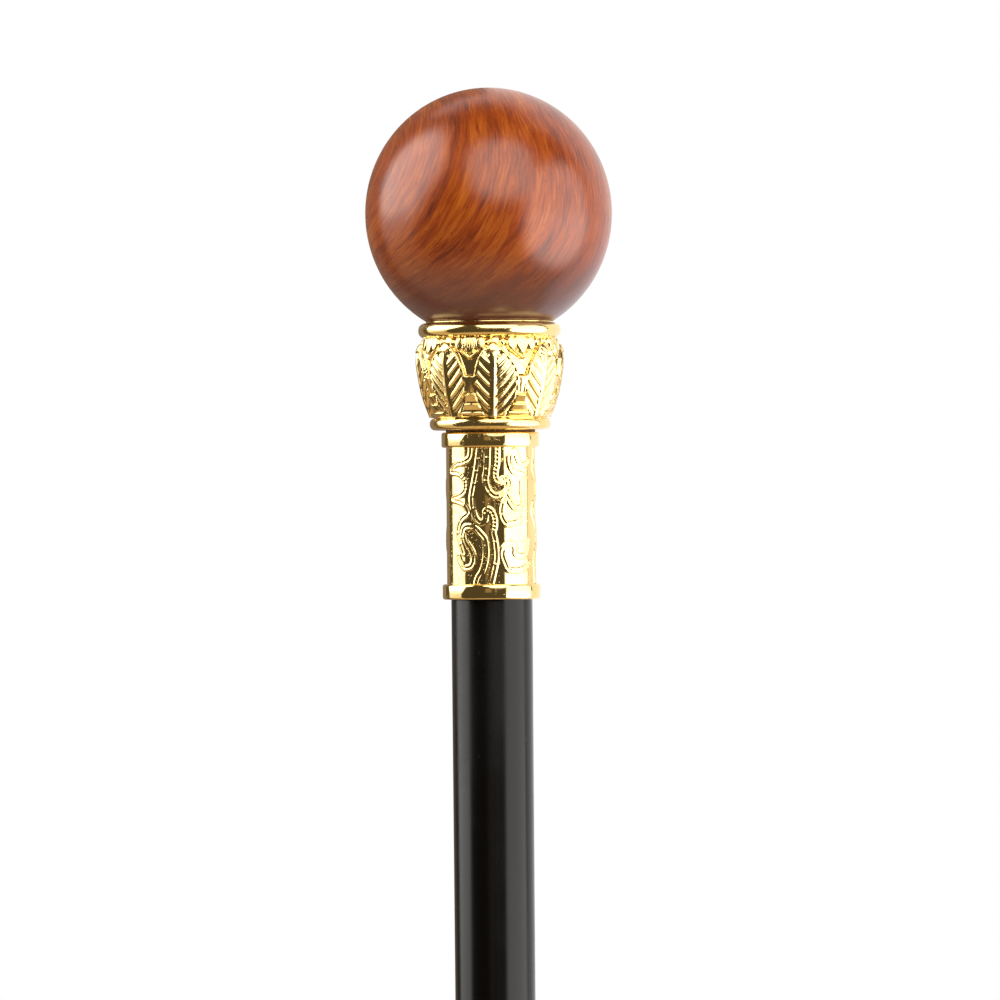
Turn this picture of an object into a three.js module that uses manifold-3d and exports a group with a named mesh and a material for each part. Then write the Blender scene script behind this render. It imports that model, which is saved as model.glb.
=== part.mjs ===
// Walking stick with a round wooden knob, a cast collar with a ring of leaves, a sleeve with raised
// scrolls, a tapered wooden shaft and a rubber tip. The handle screws off the shaft, and the tip pulls off it.
// Millimetres, +Z up, origin on the floor under the middle of the tip.
import * as THREE from 'three';
import { mergeVertices } from 'three/addons/utils/BufferGeometryUtils.js';
import Module from 'manifold-3d';

const wasm = await Module();
wasm.setup();

// Clearances shared by all the fits
const fitClearance = 0.15;
const runClearance = 0.35;
const seatGap = 0.3;
const cutOverrun = 1;

// Rubber tip
const tipHeight = 46;
const tipFloor = 7;
const tipFootRadius = 17;
const tipFootHeight = 5.5;
const tipFootRound = 1.6;
const tipNeckRadius = 11.4;
const tipNeckHeight = 17;
const tipLipRadius = 11.9;
const tipLipHeight = 4.2;
const tipLipRound = 1;
const tipRibCount = 3;
const tipRibDepth = 0.6;
const tipRibWidth = 1.6;
const treadCount = 3;
const treadDepth = 1.3;
const treadWidth = 2.1;
const treadCoreRadius = 3;

// Washer in the tip
const tipWasherThickness = 1.5;
const tipWasherBore = 2.5;

// Shaft
const shaftLength = 843;
const shaftTopRadius = 9.15;
const shaftEndRadius = 8;
const shaftEndChamfer = 0.5;

// Screw joint between the handle and the shaft
const studRadius = 3.9;
const studChamfer = 0.6;
const threadPitch = 1.25;
const threadTurns = 8;
const bushWall = 1.75;
const bushLength = 24;
const insertWall = 1.55;
const insertLength = 18;
const insertBite = 13;
const barbDepth = 0.4;
const barbPitch = 4.5;

// Sleeve and its two bands
const sleeveWall = 0.7;
const sleeveHeight = 35.4;
const bandWall = 0.85;
const bandHeight = 3.4;
const bandFlange = 1;
const bandChamfer = 0.35;
const bandMouth = 6.6;
const scrollWidth = 1.1;
const scrollRise = 0.3;
const scrollRoot = 0.3;
const scrollPanels = 2;

// Fibre washer in the joint
const jointWasherThickness = 0.5;
const jointWasherInset = 1;
const jointWasherSlack = 0.7;

// Cast collar
const lowerBeadHeight = 2.7;
const lowerBeadRadius = 13.6;
const cupHeight = 17.9;
const cupFootRadius = 13.7;
const cupWaistRadius = 15.6;
const cupBellyRadius = 16.35;
const cupTopRadius = 15.6;
const upperBeadHeight = 3.4;
const upperBeadRadius = 16;
const collarLip = 0.3;
const socketRoom = 1.2;
const collarMouthHeight = 3.7;
const collarHollowStep = 1.7;
const collarWeb = 4;
const beadBite = 0.15;

// Leaves and petals of the collar
const leafCount = 8;
const leafRise = 0.5;
const leafCurlRise = 0.45;
const leafRimRise = 0.28;
const leafRibRise = 0.42;
const leafVeinRise = 0.2;
const leafVeins = 5;
const veinClimb = 3.2;
const leafTurn = THREE.MathUtils.degToRad(2.6);
const petalRise = 0.45;
const petalRibRise = 0.3;

// Ball
const ballRadius = 27.7;
const ballHalfHeight = 28.2;
const ballSeatInset = 0.1;
const spigotRadius = 11;
const spigotHeight = 5.5;
const ballBoreSlack = 4.7;

// Fasteners that clamp the collar to the ball
const studWasherRadius = 7.5;
const studWasherThickness = 1.6;
const springRadius = 7.4;
const springThickness = 2;
const springSplit = 2;
const nutAcrossFlats = 13;
const nutHeight = 6.5;
const nutChamfer = 0.9;

// Facets round the turned pieces; the ones for bores also serve thin rods and small washers
const ballFacets = 36;
const ballSteps = 8;
const metalFacets = 36;
const shaftFacets = 24;
const socketFacets = 24;
const boreFacets = 16;
const hexagonSides = 6;
const arcSteps = 1;
const beadSteps = 2;
const scrollStepsPerPoint = 2;
const scrollTaperSteps = 4;

// Radii of the pieces that fit round or into each other
const insertRadius = studRadius + runClearance + insertWall;
const bushRadius = studRadius + runClearance + bushWall;
const sleeveBore = shaftTopRadius + fitClearance;
const sleeveRadius = sleeveBore + sleeveWall;
const bandRadius = sleeveRadius + fitClearance + bandWall;
const jointWasherRadius = bandRadius - jointWasherInset;
const jointWasherBore = studRadius + jointWasherSlack;
const collarMouth = studWasherRadius + socketRoom;
const collarHollow = collarMouth + collarHollowStep;
const ballSeatRadius = upperBeadRadius - upperBeadHeight / 2 - ballSeatInset;

// Heights from the floor
const shaftFoot = tipFloor + tipWasherThickness;
const shaftTop = shaftFoot + shaftLength;
const bandTop = shaftTop + seatGap + bandFlange;
const sleeveTop = bandTop - bandFlange;
const sleeveFoot = sleeveTop - sleeveHeight;
const collarFoot = bandTop + jointWasherThickness;

// Heights inside the handle, from the collar's foot
const cupFoot = lowerBeadHeight;
const cupTop = cupFoot + cupHeight;
const collarHeight = cupTop + upperBeadHeight + collarLip;
const spigotFoot = collarHeight - spigotHeight;
const recessFoot = spigotFoot - seatGap;
const webFoot = recessFoot - collarWeb;
const threadReach = threadTurns * threadPitch;
const studFoot = -jointWasherThickness - threadReach;
const insertFoot = spigotFoot + seatGap;

// Radius of the tapered shaft at a height from the floor
function shaftRadius(z) {
  return THREE.MathUtils.mapLinear(z, shaftFoot, shaftTop, shaftEndRadius, shaftTopRadius);
}

// Starts a profile at a radius and a height
function profileFrom(radius, z) {
  const path = new THREE.Path();
  path.moveTo(radius, z);
  return path;
}

// Revolves a profile of radii and heights round the stick's axis
function turned(path, facets, steps = arcSteps) {
  const geometry = new THREE.LatheGeometry(path.getPoints(steps), facets);
  geometry.rotateX(Math.PI / 2);
  return geometry;
}

// Turns a geometry into a solid that can be joined and cut
function solidOf(geometry) {
  geometry.deleteAttribute('normal');
  geometry.deleteAttribute('uv');
  const merged = mergeVertices(geometry);
  const kept = [];
  for (let i = 0; i < merged.index.count; i += 3) {
    const [a, b, c] = merged.index.array.slice(i, i + 3);
    if (a !== b && b !== c && c !== a) {
      kept.push(a, b, c);
    }
  }
  const vertProperties = new Float32Array(merged.attributes.position.array);
  const triVerts = new Uint32Array(kept);
  return new wasm.Manifold(new wasm.Mesh({ numProp: 3, vertProperties, triVerts }));
}

// Turns a solid back into a geometry
function geometryOf(solid) {
  const mesh = solid.getMesh();
  const geometry = new THREE.BufferGeometry();
  geometry.setAttribute('position', new THREE.Float32BufferAttribute(mesh.vertProperties, 3));
  geometry.setIndex(new THREE.Uint32BufferAttribute(mesh.triVerts, 1));
  geometry.computeVertexNormals();
  return geometry;
}

// A turned ring of rectangular section that stands on zero
function ring(bore, radius, height, facets) {
  const path = profileFrom(bore, 0);
  path.lineTo(radius, 0);
  path.lineTo(radius, height);
  path.lineTo(bore, height);
  path.lineTo(bore, 0);
  return turned(path, facets);
}

// Flared rubber foot with ribs on its neck and ring treads under it
function rubberTip() {
  const neckTop = tipHeight - tipLipHeight;
  const treadPitch = (tipFootRadius - tipFootRound - treadCoreRadius) / treadCount;
  const ribPitch = (neckTop - tipNeckHeight) / (tipRibCount + 1);
  const path = profileFrom(0, 0);
  for (let i = 0; i < treadCount; i += 1) {
    const start = treadCoreRadius + i * treadPitch;
    path.lineTo(start, 0);
    path.lineTo(start, treadDepth);
    path.lineTo(start + treadWidth, treadDepth);
    path.lineTo(start + treadWidth, 0);
  }
  path.absarc(tipFootRadius - tipFootRound, tipFootRound, tipFootRound, -Math.PI / 2, 0, false);
  const flareRun = tipFootRadius - tipNeckRadius;
  const flareRise = tipNeckHeight - tipFootHeight;
  path.absellipse(tipFootRadius, tipNeckHeight, flareRun, flareRise, -Math.PI / 2, -Math.PI, true);
  for (let i = 1; i <= tipRibCount; i += 1) {
    const middle = tipNeckHeight + i * ribPitch;
    path.lineTo(tipNeckRadius, middle - tipRibWidth / 2);
    path.lineTo(tipNeckRadius - tipRibDepth, middle);
    path.lineTo(tipNeckRadius, middle + tipRibWidth / 2);
  }
  path.lineTo(tipNeckRadius, neckTop);
  path.lineTo(tipLipRadius, neckTop + tipLipRound);
  path.absarc(tipLipRadius - tipLipRound, tipHeight - tipLipRound, tipLipRound, 0, Math.PI / 2, false);
  path.lineTo(shaftRadius(tipHeight) + fitClearance, tipHeight);
  path.lineTo(shaftRadius(shaftFoot) + fitClearance, tipFloor);
  path.lineTo(0, tipFloor);
  return turned(path, shaftFacets);
}

// Tapered shaft with a bore for the bush in its top end
function shaft() {
  const path = profileFrom(0, 0);
  path.lineTo(shaftEndRadius - shaftEndChamfer, 0);
  path.lineTo(shaftRadius(shaftFoot + shaftEndChamfer), shaftEndChamfer);
  path.lineTo(shaftRadius(sleeveFoot), sleeveFoot - shaftFoot);
  path.lineTo(shaftTopRadius, shaftLength);
  path.lineTo(bushRadius + fitClearance, shaftLength);
  path.lineTo(bushRadius + fitClearance, shaftLength - bushLength - seatGap);
  path.lineTo(0, shaftLength - bushLength - seatGap);
  return turned(path, shaftFacets);
}

// Threaded metal bush with barbs that grip the wood
function barbedBush(radius, length) {
  const barbs = Math.floor(length / barbPitch);
  const bore = studRadius + runClearance;
  const path = profileFrom(bore, 0);
  for (let i = 0; i < barbs; i += 1) {
    path.lineTo(radius - barbDepth, i * barbPitch);
    path.lineTo(radius, (i + 1) * barbPitch);
  }
  path.lineTo(radius, length);
  path.lineTo(bore, length);
  path.lineTo(bore, 0);
  return turned(path, boreFacets);
}

// Cap band with an inward flange at its top
function capBand(flangeBore) {
  const wall = sleeveRadius + fitClearance;
  const shoulder = bandRadius - bandChamfer;
  const path = profileFrom(wall, 0);
  path.lineTo(shoulder, 0);
  path.lineTo(bandRadius, bandChamfer);
  path.lineTo(bandRadius, bandHeight - bandChamfer);
  path.lineTo(shoulder, bandHeight);
  path.lineTo(flangeBore, bandHeight);
  path.lineTo(flangeBore, bandHeight - bandFlange);
  path.lineTo(wall, bandHeight - bandFlange);
  path.lineTo(wall, 0);
  return turned(path, metalFacets);
}

// Middle lines of one panel's scrolls: places round the sleeve as shares of a panel's width from its
// middle, and up it as shares of the bare height between the bands
const scrollShares = [
  [[-0.08, 1], [-0.13, 0.7], [-0.13, 0.52], [-0.085, 0.455], [-0.045, 0.49], [0, 0.54], [0.03, 0.48],
    [0.035, 0.25], [-0.01, 0]],
  [[-0.02, 1], [-0.04, 0.76], [0, 0.66], [0.07, 0.645], [0.125, 0.7], [0.1, 0.77]],
  [[0.05, 1], [0.045, 0.87], [0.055, 0.76]],
  [[-0.15, 1], [-0.2, 0.9], [-0.3, 0.86], [-0.4, 0.87], [-0.46, 0.94]],
  [[-0.36, 0.79], [-0.25, 0.79], [-0.2, 0.73], [-0.24, 0.65], [-0.34, 0.64]],
  [[-0.33, 0.58], [-0.22, 0.58], [-0.19, 0.52], [-0.26, 0.42], [-0.25, 0.3], [-0.2, 0.23]],
  [[-0.21, 0.34], [-0.18, 0.41], [-0.1, 0.4], [-0.045, 0.3], [-0.05, 0.15], [-0.12, 0]],
  [[-0.17, 0.32], [-0.13, 0.2], [-0.18, 0.11], [-0.26, 0.13], [-0.28, 0.22]],
  [[0.11, 0.6], [0.07, 0.52], [0.11, 0.44], [0.18, 0.43], [0.24, 0.48]],
  [[0.14, 0.65], [0.17, 0.57], [0.24, 0.58], [0.25, 0.7], [0.16, 0.81], [0.15, 0.92], [0.22, 0.93],
    [0.26, 0.87], [0.34, 0.9]],
  [[0.33, 0.15], [0.23, 0.1], [0.13, 0.12], [0.09, 0.21], [0.14, 0.29], [0.21, 0.23], [0.28, 0.22],
    [0.33, 0.28]],
  [[0.4, 1], [0.38, 0.86], [0.45, 0.74], [0.44, 0.64], [0.37, 0.54], [0.44, 0.4], [0.46, 0.28],
    [0.4, 0.16], [0.43, 0]],
];

// Width of a scroll's free tip as a share of its full width
const scrollTipShare = 0.35;

// Flat band along a middle line, narrower at free tips, on a sheet that is unrolled from the sleeve
function scrollBand(line, startIsFree, endIsFree) {
  const count = scrollStepsPerPoint * (line.length - 1);
  const curve = new THREE.SplineCurve(line);
  const left = [];
  const right = [];
  const taperAt = (steps, free) => (free ? Math.min(1, scrollTipShare + steps / scrollTaperSteps) : 1);
  for (let i = 0; i <= count; i += 1) {
    const middle = curve.getPoint(i / count);
    const along = curve.getTangent(i / count);
    const width = scrollWidth * taperAt(i, startIsFree) * taperAt(count - i, endIsFree);
    const aside = new THREE.Vector2(-along.y, along.x).multiplyScalar(width / 2);
    left.push(middle.clone().add(aside));
    right.unshift(middle.clone().sub(aside));
  }
  return new THREE.ExtrudeGeometry(new THREE.Shape([...right, ...left]), {
    depth: scrollRoot + scrollRise,
    bevelEnabled: false,
  });
}

// Rolls a flat sheet round the sleeve, turned by an angle: across becomes the turn, and depth the radius
function rolled(geometry, turn) {
  const position = geometry.attributes.position;
  for (let i = 0; i < position.count; i += 1) {
    const angle = turn + position.getX(i) / sleeveRadius;
    const radius = sleeveRadius - scrollRoot + position.getZ(i);
    position.setXYZ(i, radius * Math.sin(angle), -radius * Math.cos(angle), position.getY(i));
  }
  return geometry;
}

// Sleeve: a thin tube with scrolls in relief, in panels that repeat round it and end short of the bands
function scrollSleeve() {
  const bareFoot = bandHeight - bandFlange;
  const bareTop = sleeveHeight - bareFoot;
  const panelWidth = 2 * Math.PI * sleeveRadius / scrollPanels;
  const tube = solidOf(ring(sleeveBore, sleeveRadius, sleeveHeight, metalFacets));
  const room = solidOf(ring(sleeveBore, bandRadius, bareTop - bareFoot - 2 * fitClearance, metalFacets));
  const bands = [];
  for (let panel = 0; panel < scrollPanels; panel += 1) {
    for (const places of scrollShares) {
      const line = places.map(([across, up]) => new THREE.Vector2(
        across * panelWidth,
        THREE.MathUtils.lerp(bareFoot, bareTop, up),
      ));
      const [startIsFree, endIsFree] = [places[0], places.at(-1)].map(([, up]) => up > 0 && up < 1);
      const band = scrollBand(line, startIsFree, endIsFree);
      bands.push(solidOf(rolled(band, panel * 2 * Math.PI / scrollPanels)));
    }
  }
  const scrolls = bands.reduce((all, band) => all.add(band));
  return geometryOf(tube.add(scrolls.intersect(room.translate([0, 0, bareFoot + fitClearance]))));
}

// Half-round bead on the collar, with a lip above it
function bead(radius, height, lip) {
  const half = height / 2;
  const path = profileFrom(0, 0);
  path.lineTo(radius - half, 0);
  path.absarc(radius - half, half, half, -Math.PI / 2, Math.PI / 2, false);
  path.lineTo(radius - half, height + lip);
  path.lineTo(0, height + lip);
  return turned(path, metalFacets, beadSteps);
}

// Places across half a leaf, as shares of its half width
const leafAcrossShares = [0, 0.14, 0.5, 0.85, 1];
// Height shares with the leaf's half width as a share of half the pitch
const leafWidthShares = [[0, 0.86], [0.1, 0.93], [0.3, 0.87], [0.5, 0.78], [0.7, 0.64],
  [0.84, 0.5], [0.91, 0.36], [0.96, 0.2], [1, 0.16]];
// Height shares with the petal's half width as a share of half the gap
const petalWidthShares = [[0, 0.3], [0.5, 0.12], [0.65, 0.34], [0.8, 0.6], [0.9, 0.7], [1, 0.62]];
// Height share where the side veins end, and those of the rows above it
const veinEndShare = 0.8;
const curlRowShares = [0.86, 0.91, 0.96, 1];
// Height share where the petals begin
const petalFootShare = 0.5;
// Width of the petal's sloping edge as a share of half the gap
const petalFootWidthShare = 0.12;
// How much of the rise is left at a leaf's very edge
const edgeRiseShare = 0.5;
// Part of the height over which the veins' climb fades in at the foot and out at the top
const climbFadeShare = 0.28;

// Reads a table of pairs of shares at one place
function shareAt(table, place) {
  const next = Math.max(1, table.findIndex((pair) => pair[0] >= place));
  const [from, low] = table[next - 1];
  const [to, high] = table[next];
  return THREE.MathUtils.mapLinear(place, from, to, low, high);
}

// Height shares of the cup's waist and belly
const cupWaistShare = 0.33;
const cupBellyShare = 0.75;

// Outline of the leaves' crests from the cup's foot to its top
const cupOutline = new THREE.SplineCurve([
  new THREE.Vector2(cupFootRadius, 0),
  new THREE.Vector2(cupWaistRadius, cupWaistShare),
  new THREE.Vector2(cupBellyRadius, cupBellyShare),
  new THREE.Vector2(cupTopRadius, 1),
]);
const cupTable = cupOutline.getPoints(2 * leafVeins).map((point) => [point.y, point.x]);

// Height shares of the cup's rows: crest and valley of each vein, then the curled tip
const cupRows = [];
for (let i = 0; i < 2 * leafVeins; i += 1) {
  cupRows.push(veinEndShare * i / (2 * leafVeins));
}
cupRows.push(veinEndShare, ...curlRowShares);

// Rise of the surface above the cup's ground within a leaf
function riseInLeaf(across, height, row) {
  const tipShare = curlRowShares.at(-2);
  if (height >= tipShare) {
    return 0;
  }
  const curl = Math.sin(Math.PI * THREE.MathUtils.smoothstep(height, veinEndShare / 2, tipShare));
  const body = leafRise + leafCurlRise * curl;
  if (across === 0) {
    return body + leafRibRise;
  }
  if (across === leafAcrossShares.at(-1)) {
    return body * edgeRiseShare;
  }
  if (across === leafAcrossShares.at(-2)) {
    return body + leafRimRise;
  }
  const veined = across > leafAcrossShares[1] && height < veinEndShare && row > 0;
  const wave = row % 2 === 0 ? -leafVeinRise : leafVeinRise;
  return veined ? body + wave : body;
}

// Turn from the leaf's middle, as a share of half the pitch, and rise of each column at one height
function halfSector(height, row) {
  const leafHalf = shareAt(leafWidthShares, height);
  const gapHalf = 1 - leafHalf;
  const petalHalf = gapHalf * shareAt(petalWidthShares, height);
  const petal = height > petalFootShare ? petalRise : 0;
  const petalRib = height > petalFootShare ? petalRibRise : 0;
  const columns = leafAcrossShares.map((across) => ({
    turn: leafHalf * across,
    climb: across,
    rise: riseInLeaf(across, height, row),
  }));
  columns.push({ turn: 1 - petalHalf - gapHalf * petalFootWidthShare, climb: 1, rise: 0 });
  columns.push({ turn: 1 - petalHalf, climb: 1, rise: petal });
  columns.push({ turn: 1, climb: 1, rise: petal + petalRib });
  return columns;
}

// Cup with a ring of ribbed, veined leaves whose tips curl out, and petals hanging in the gaps
function leafCup() {
  const halfPitch = Math.PI / leafCount;
  const halfColumns = halfSector(0, 0).length;
  const sectorColumns = 2 * (halfColumns - 1);
  const columnCount = leafCount * sectorColumns;
  const rowCount = cupRows.length + 2;
  const unit = Array.from({ length: rowCount }, (_, row) => new THREE.Vector2(1, row));
  const geometry = new THREE.LatheGeometry(unit, columnCount);
  const position = geometry.attributes.position;
  for (let row = 0; row < rowCount; row += 1) {
    const height = cupRows[THREE.MathUtils.clamp(row - 1, 0, cupRows.length - 1)];
    const onAxis = row === 0 || row === rowCount - 1;
    const half = halfSector(height, row - 1);
    const fade = Math.min(1, height / climbFadeShare, (1 - height) / climbFadeShare);
    const ground = shareAt(cupTable, height) - leafRise - leafRimRise;
    for (let column = 0; column <= columnCount; column += 1) {
      const place = column % sectorColumns;
      const side = place < halfColumns ? 1 : -1;
      const { turn, climb, rise } = half[side > 0 ? place : sectorColumns - place];
      const sector = Math.floor(column / sectorColumns) % leafCount + (side > 0 ? 0 : 1);
      const angle = halfPitch * (2 * sector + side * turn);
      const radius = onAxis ? 0 : ground + rise;
      const z = height * (cupHeight + 2 * beadBite) + (onAxis ? 0 : veinClimb * climb * fade);
      const vertex = column * rowCount + row;
      position.setXYZ(vertex, radius * Math.sin(angle), -radius * Math.cos(angle), z);
    }
  }
  return geometry;
}

// Cast collar: beads and leaf cup in one, bored for the ball's spigot, the stud and the nut
function leafCollar() {
  const bore = profileFrom(0, -cutOverrun);
  bore.lineTo(collarMouth, -cutOverrun);
  bore.lineTo(collarMouth, collarMouthHeight);
  bore.lineTo(collarHollow, collarMouthHeight);
  bore.lineTo(collarHollow, webFoot);
  bore.lineTo(studRadius + runClearance, webFoot);
  bore.lineTo(studRadius + runClearance, recessFoot);
  bore.lineTo(spigotRadius + fitClearance, recessFoot);
  bore.lineTo(spigotRadius + fitClearance, collarHeight + cutOverrun);
  bore.lineTo(0, collarHeight + cutOverrun);
  const lowerBead = solidOf(bead(lowerBeadRadius, lowerBeadHeight, 0));
  const cup = solidOf(leafCup()).translate([0, 0, cupFoot - beadBite]);
  const upperBead = solidOf(bead(upperBeadRadius, upperBeadHeight, collarLip)).translate([0, 0, cupTop]);
  return geometryOf(lowerBead.add(cup).add(upperBead).subtract(solidOf(turned(bore, socketFacets))));
}

// Ball with a flat seat, a spigot and a blind bore underneath; zero is the seat
function knobBall() {
  const middle = ballHalfHeight * Math.sqrt(1 - (ballSeatRadius / ballRadius) ** 2);
  const seatAngle = -Math.acos(ballSeatRadius / ballRadius);
  const boreTop = seatGap + insertLength + ballBoreSlack - spigotHeight;
  const path = profileFrom(0, boreTop);
  path.lineTo(insertRadius + fitClearance, boreTop);
  path.lineTo(insertRadius + fitClearance, -spigotHeight);
  path.lineTo(spigotRadius, -spigotHeight);
  path.lineTo(spigotRadius, 0);
  const outline = new THREE.EllipseCurve(0, middle, ballRadius, ballHalfHeight, seatAngle, Math.PI / 2);
  outline.getPoints(2 * ballSteps).forEach((point) => path.lineTo(point.x, point.y));
  return turned(path, ballFacets);
}

// Threaded rod that joins the ball to the shaft
function knobStud() {
  const length = insertFoot + insertBite - studFoot;
  const path = profileFrom(0, 0);
  path.lineTo(studRadius - studChamfer, 0);
  path.lineTo(studRadius, studChamfer);
  path.lineTo(studRadius, length - studChamfer);
  path.lineTo(studRadius - studChamfer, length);
  path.lineTo(0, length);
  return turned(path, boreFacets);
}

// Split spring washer
function springWasher() {
  const bore = studRadius + fitClearance;
  const halfGap = springSplit / (2 * springRadius);
  const shape = new THREE.Shape();
  shape.absarc(0, 0, springRadius, halfGap, 2 * Math.PI - halfGap, false);
  shape.absarc(0, 0, bore, 2 * Math.PI - halfGap, halfGap, true);
  return new THREE.ExtrudeGeometry(shape, {
    depth: springThickness,
    bevelEnabled: false,
    curveSegments: boreFacets / 2,
  });
}

// Hexagon nut with chamfered corners
function studNut() {
  const cornerRadius = nutAcrossFlats / Math.sqrt(3);
  const hexagon = new THREE.Shape();
  hexagon.absarc(0, 0, cornerRadius, 0, 2 * Math.PI, false);
  const prism = new THREE.ExtrudeGeometry(new THREE.Shape(hexagon.getPoints(hexagonSides / 2)), {
    depth: nutHeight,
    bevelEnabled: false,
  });
  const flatRadius = nutAcrossFlats / 2;
  const reach = cornerRadius + cutOverrun;
  const slope = nutChamfer * (reach - flatRadius) / (cornerRadius - flatRadius);
  const blank = profileFrom(studRadius + fitClearance, 0);
  blank.lineTo(flatRadius, 0);
  blank.lineTo(reach, slope);
  blank.lineTo(reach, nutHeight - slope);
  blank.lineTo(flatRadius, nutHeight);
  blank.lineTo(studRadius + fitClearance, nutHeight);
  blank.lineTo(studRadius + fitClearance, 0);
  return geometryOf(solidOf(prism).intersect(solidOf(turned(blank, boreFacets))));
}

const lacqueredWood = { color: 0x8f4a1c, roughness: 0.3, metalness: 0 };
const blackWood = { color: 0x0f0d0f, roughness: 0.3, metalness: 0 };
const goldPlate = { color: 0xd9a441, roughness: 0.15, metalness: 1 };
const brass = { color: 0xb08d3c, roughness: 0.35, metalness: 1 };
const zincedSteel = { color: 0xa9adb0, roughness: 0.35, metalness: 1 };
const darkFibre = { color: 0x1c1614, roughness: 0.8, metalness: 0 };
const blackRubber = { color: 0x161616, roughness: 0.75, metalness: 0 };

// A named piece with its own material, lifted to its place
function piece(name, geometry, finish, z) {
  const mesh = new THREE.Mesh(geometry, new THREE.MeshStandardMaterial(finish));
  mesh.name = name;
  mesh.position.z = z;
  return mesh;
}

// Ball, collar and the fasteners between them, from the collar's foot up
function handleGroup() {
  const studBore = studRadius + fitClearance;
  const washerFoot = webFoot - studWasherThickness;
  const springFoot = washerFoot - springThickness;
  const washer = ring(studBore, studWasherRadius, studWasherThickness, boreFacets);
  const collar = piece('leaf_collar', leafCollar(), goldPlate, 0);
  collar.rotation.z = leafTurn;
  const group = new THREE.Group();
  group.add(
    piece('knob_ball', knobBall(), lacqueredWood, collarHeight),
    piece('knob_insert', barbedBush(insertRadius, insertLength), brass, insertFoot),
    collar,
    piece('knob_stud', knobStud(), zincedSteel, studFoot),
    piece('stud_washer', washer, zincedSteel, washerFoot),
    piece('spring_washer', springWasher(), zincedSteel, springFoot),
    piece('stud_nut', studNut(), zincedSteel, springFoot - nutHeight),
  );
  group.position.z = collarFoot;
  return group;
}

// Shaft with its bush, sleeve and bands
function shaftGroup() {
  const jointWasher = ring(jointWasherBore, jointWasherRadius, jointWasherThickness, metalFacets);
  const lowerBand = piece('sleeve_bottom_band', capBand(shaftTopRadius + fitClearance), goldPlate, 0);
  lowerBand.rotation.x = Math.PI;
  lowerBand.position.z = sleeveFoot - bandFlange + bandHeight;
  const group = new THREE.Group();
  group.add(
    piece('joint_washer', jointWasher, darkFibre, bandTop),
    piece('sleeve_top_band', capBand(bandMouth), goldPlate, bandTop - bandHeight),
    piece('scroll_sleeve', scrollSleeve(), goldPlate, sleeveFoot),
    lowerBand,
    piece('shaft_bush', barbedBush(bushRadius, bushLength), brass, shaftTop - bushLength),
    piece('shaft', shaft(), blackWood, shaftFoot),
  );
  return group;
}

// Rubber tip and the washer in it
function tipGroup() {
  const group = new THREE.Group();
  const washer = ring(tipWasherBore, shaftEndRadius, tipWasherThickness, shaftFacets);
  group.add(piece('tip_washer', washer, zincedSteel, tipFloor));
  group.add(piece('rubber_tip', rubberTip(), blackRubber, 0));
  return group;
}

const stick = new THREE.Group();
stick.add(handleGroup(), shaftGroup(), tipGroup());

export default stick;
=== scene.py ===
"""Walking stick with a turned wooden knob, gilt fittings, a black tapered shaft and a rubber tip."""
import math

import bmesh
import bpy
import numpy as np
from bpy.props import FloatProperty, FloatVectorProperty, IntProperty, PointerProperty
from mathutils import Matrix, Vector


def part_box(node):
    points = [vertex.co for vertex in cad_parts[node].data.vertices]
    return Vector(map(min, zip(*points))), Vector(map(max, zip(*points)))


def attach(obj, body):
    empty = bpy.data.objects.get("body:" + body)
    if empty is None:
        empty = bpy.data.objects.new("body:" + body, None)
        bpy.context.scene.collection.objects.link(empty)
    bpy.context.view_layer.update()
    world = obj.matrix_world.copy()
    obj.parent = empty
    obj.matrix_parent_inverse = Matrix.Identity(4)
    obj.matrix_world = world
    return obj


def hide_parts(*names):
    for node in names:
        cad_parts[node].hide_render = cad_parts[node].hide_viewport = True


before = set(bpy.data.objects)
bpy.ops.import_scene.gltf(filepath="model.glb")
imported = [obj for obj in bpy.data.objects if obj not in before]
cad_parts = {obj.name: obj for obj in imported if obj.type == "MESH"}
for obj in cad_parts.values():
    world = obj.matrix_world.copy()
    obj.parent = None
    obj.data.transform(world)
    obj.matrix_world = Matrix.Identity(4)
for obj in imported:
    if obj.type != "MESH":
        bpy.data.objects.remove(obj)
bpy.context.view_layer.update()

bl_info = {
    "name": "Knob Handle Walking Stick",
    "version": (1, 0, 0),
    "blender": (4, 5, 0),
    "location": "3D View > Sidebar > Stick",
    "description": "Builds a walking stick with a wooden knob, a leaf collar and a scrolled sleeve",
    "category": "Add Mesh",
}

MM = 0.001
KNOB_LOW, KNOB_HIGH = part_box("knob_ball")
COLLAR_LOW, COLLAR_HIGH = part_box("leaf_collar")
STUD_LOW, STUD_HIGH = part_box("knob_stud")
TOP_BAND_LOW, TOP_BAND_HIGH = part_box("sleeve_top_band")
BOTTOM_BAND_LOW, BOTTOM_BAND_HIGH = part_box("sleeve_bottom_band")
SLEEVE_LOW, SLEEVE_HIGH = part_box("scroll_sleeve")
SHAFT_LOW, SHAFT_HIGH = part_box("shaft")
TIP_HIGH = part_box("rubber_tip")[1]


def srgb(red, green, blue):
    """A screen colour from 0 to 255 as the linear colour that materials take."""
    shares = [value / 255 for value in (red, green, blue)]
    return tuple(s / 12.92 if s <= 0.04045 else ((s + 0.055) / 1.055) ** 2.4 for s in shares)


def length(name, description, default, smallest=0.0):
    """A size in metres, whose default and least value are given in millimetres."""
    return FloatProperty(
        name=name, description=description, default=default * MM, min=smallest * MM, precision=5,
        subtype="DISTANCE", unit="LENGTH",
    )


def colour(name, description, default):
    return FloatVectorProperty(
        name=name, description=description, default=default, size=3, min=0, max=1, subtype="COLOR",
    )


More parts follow.
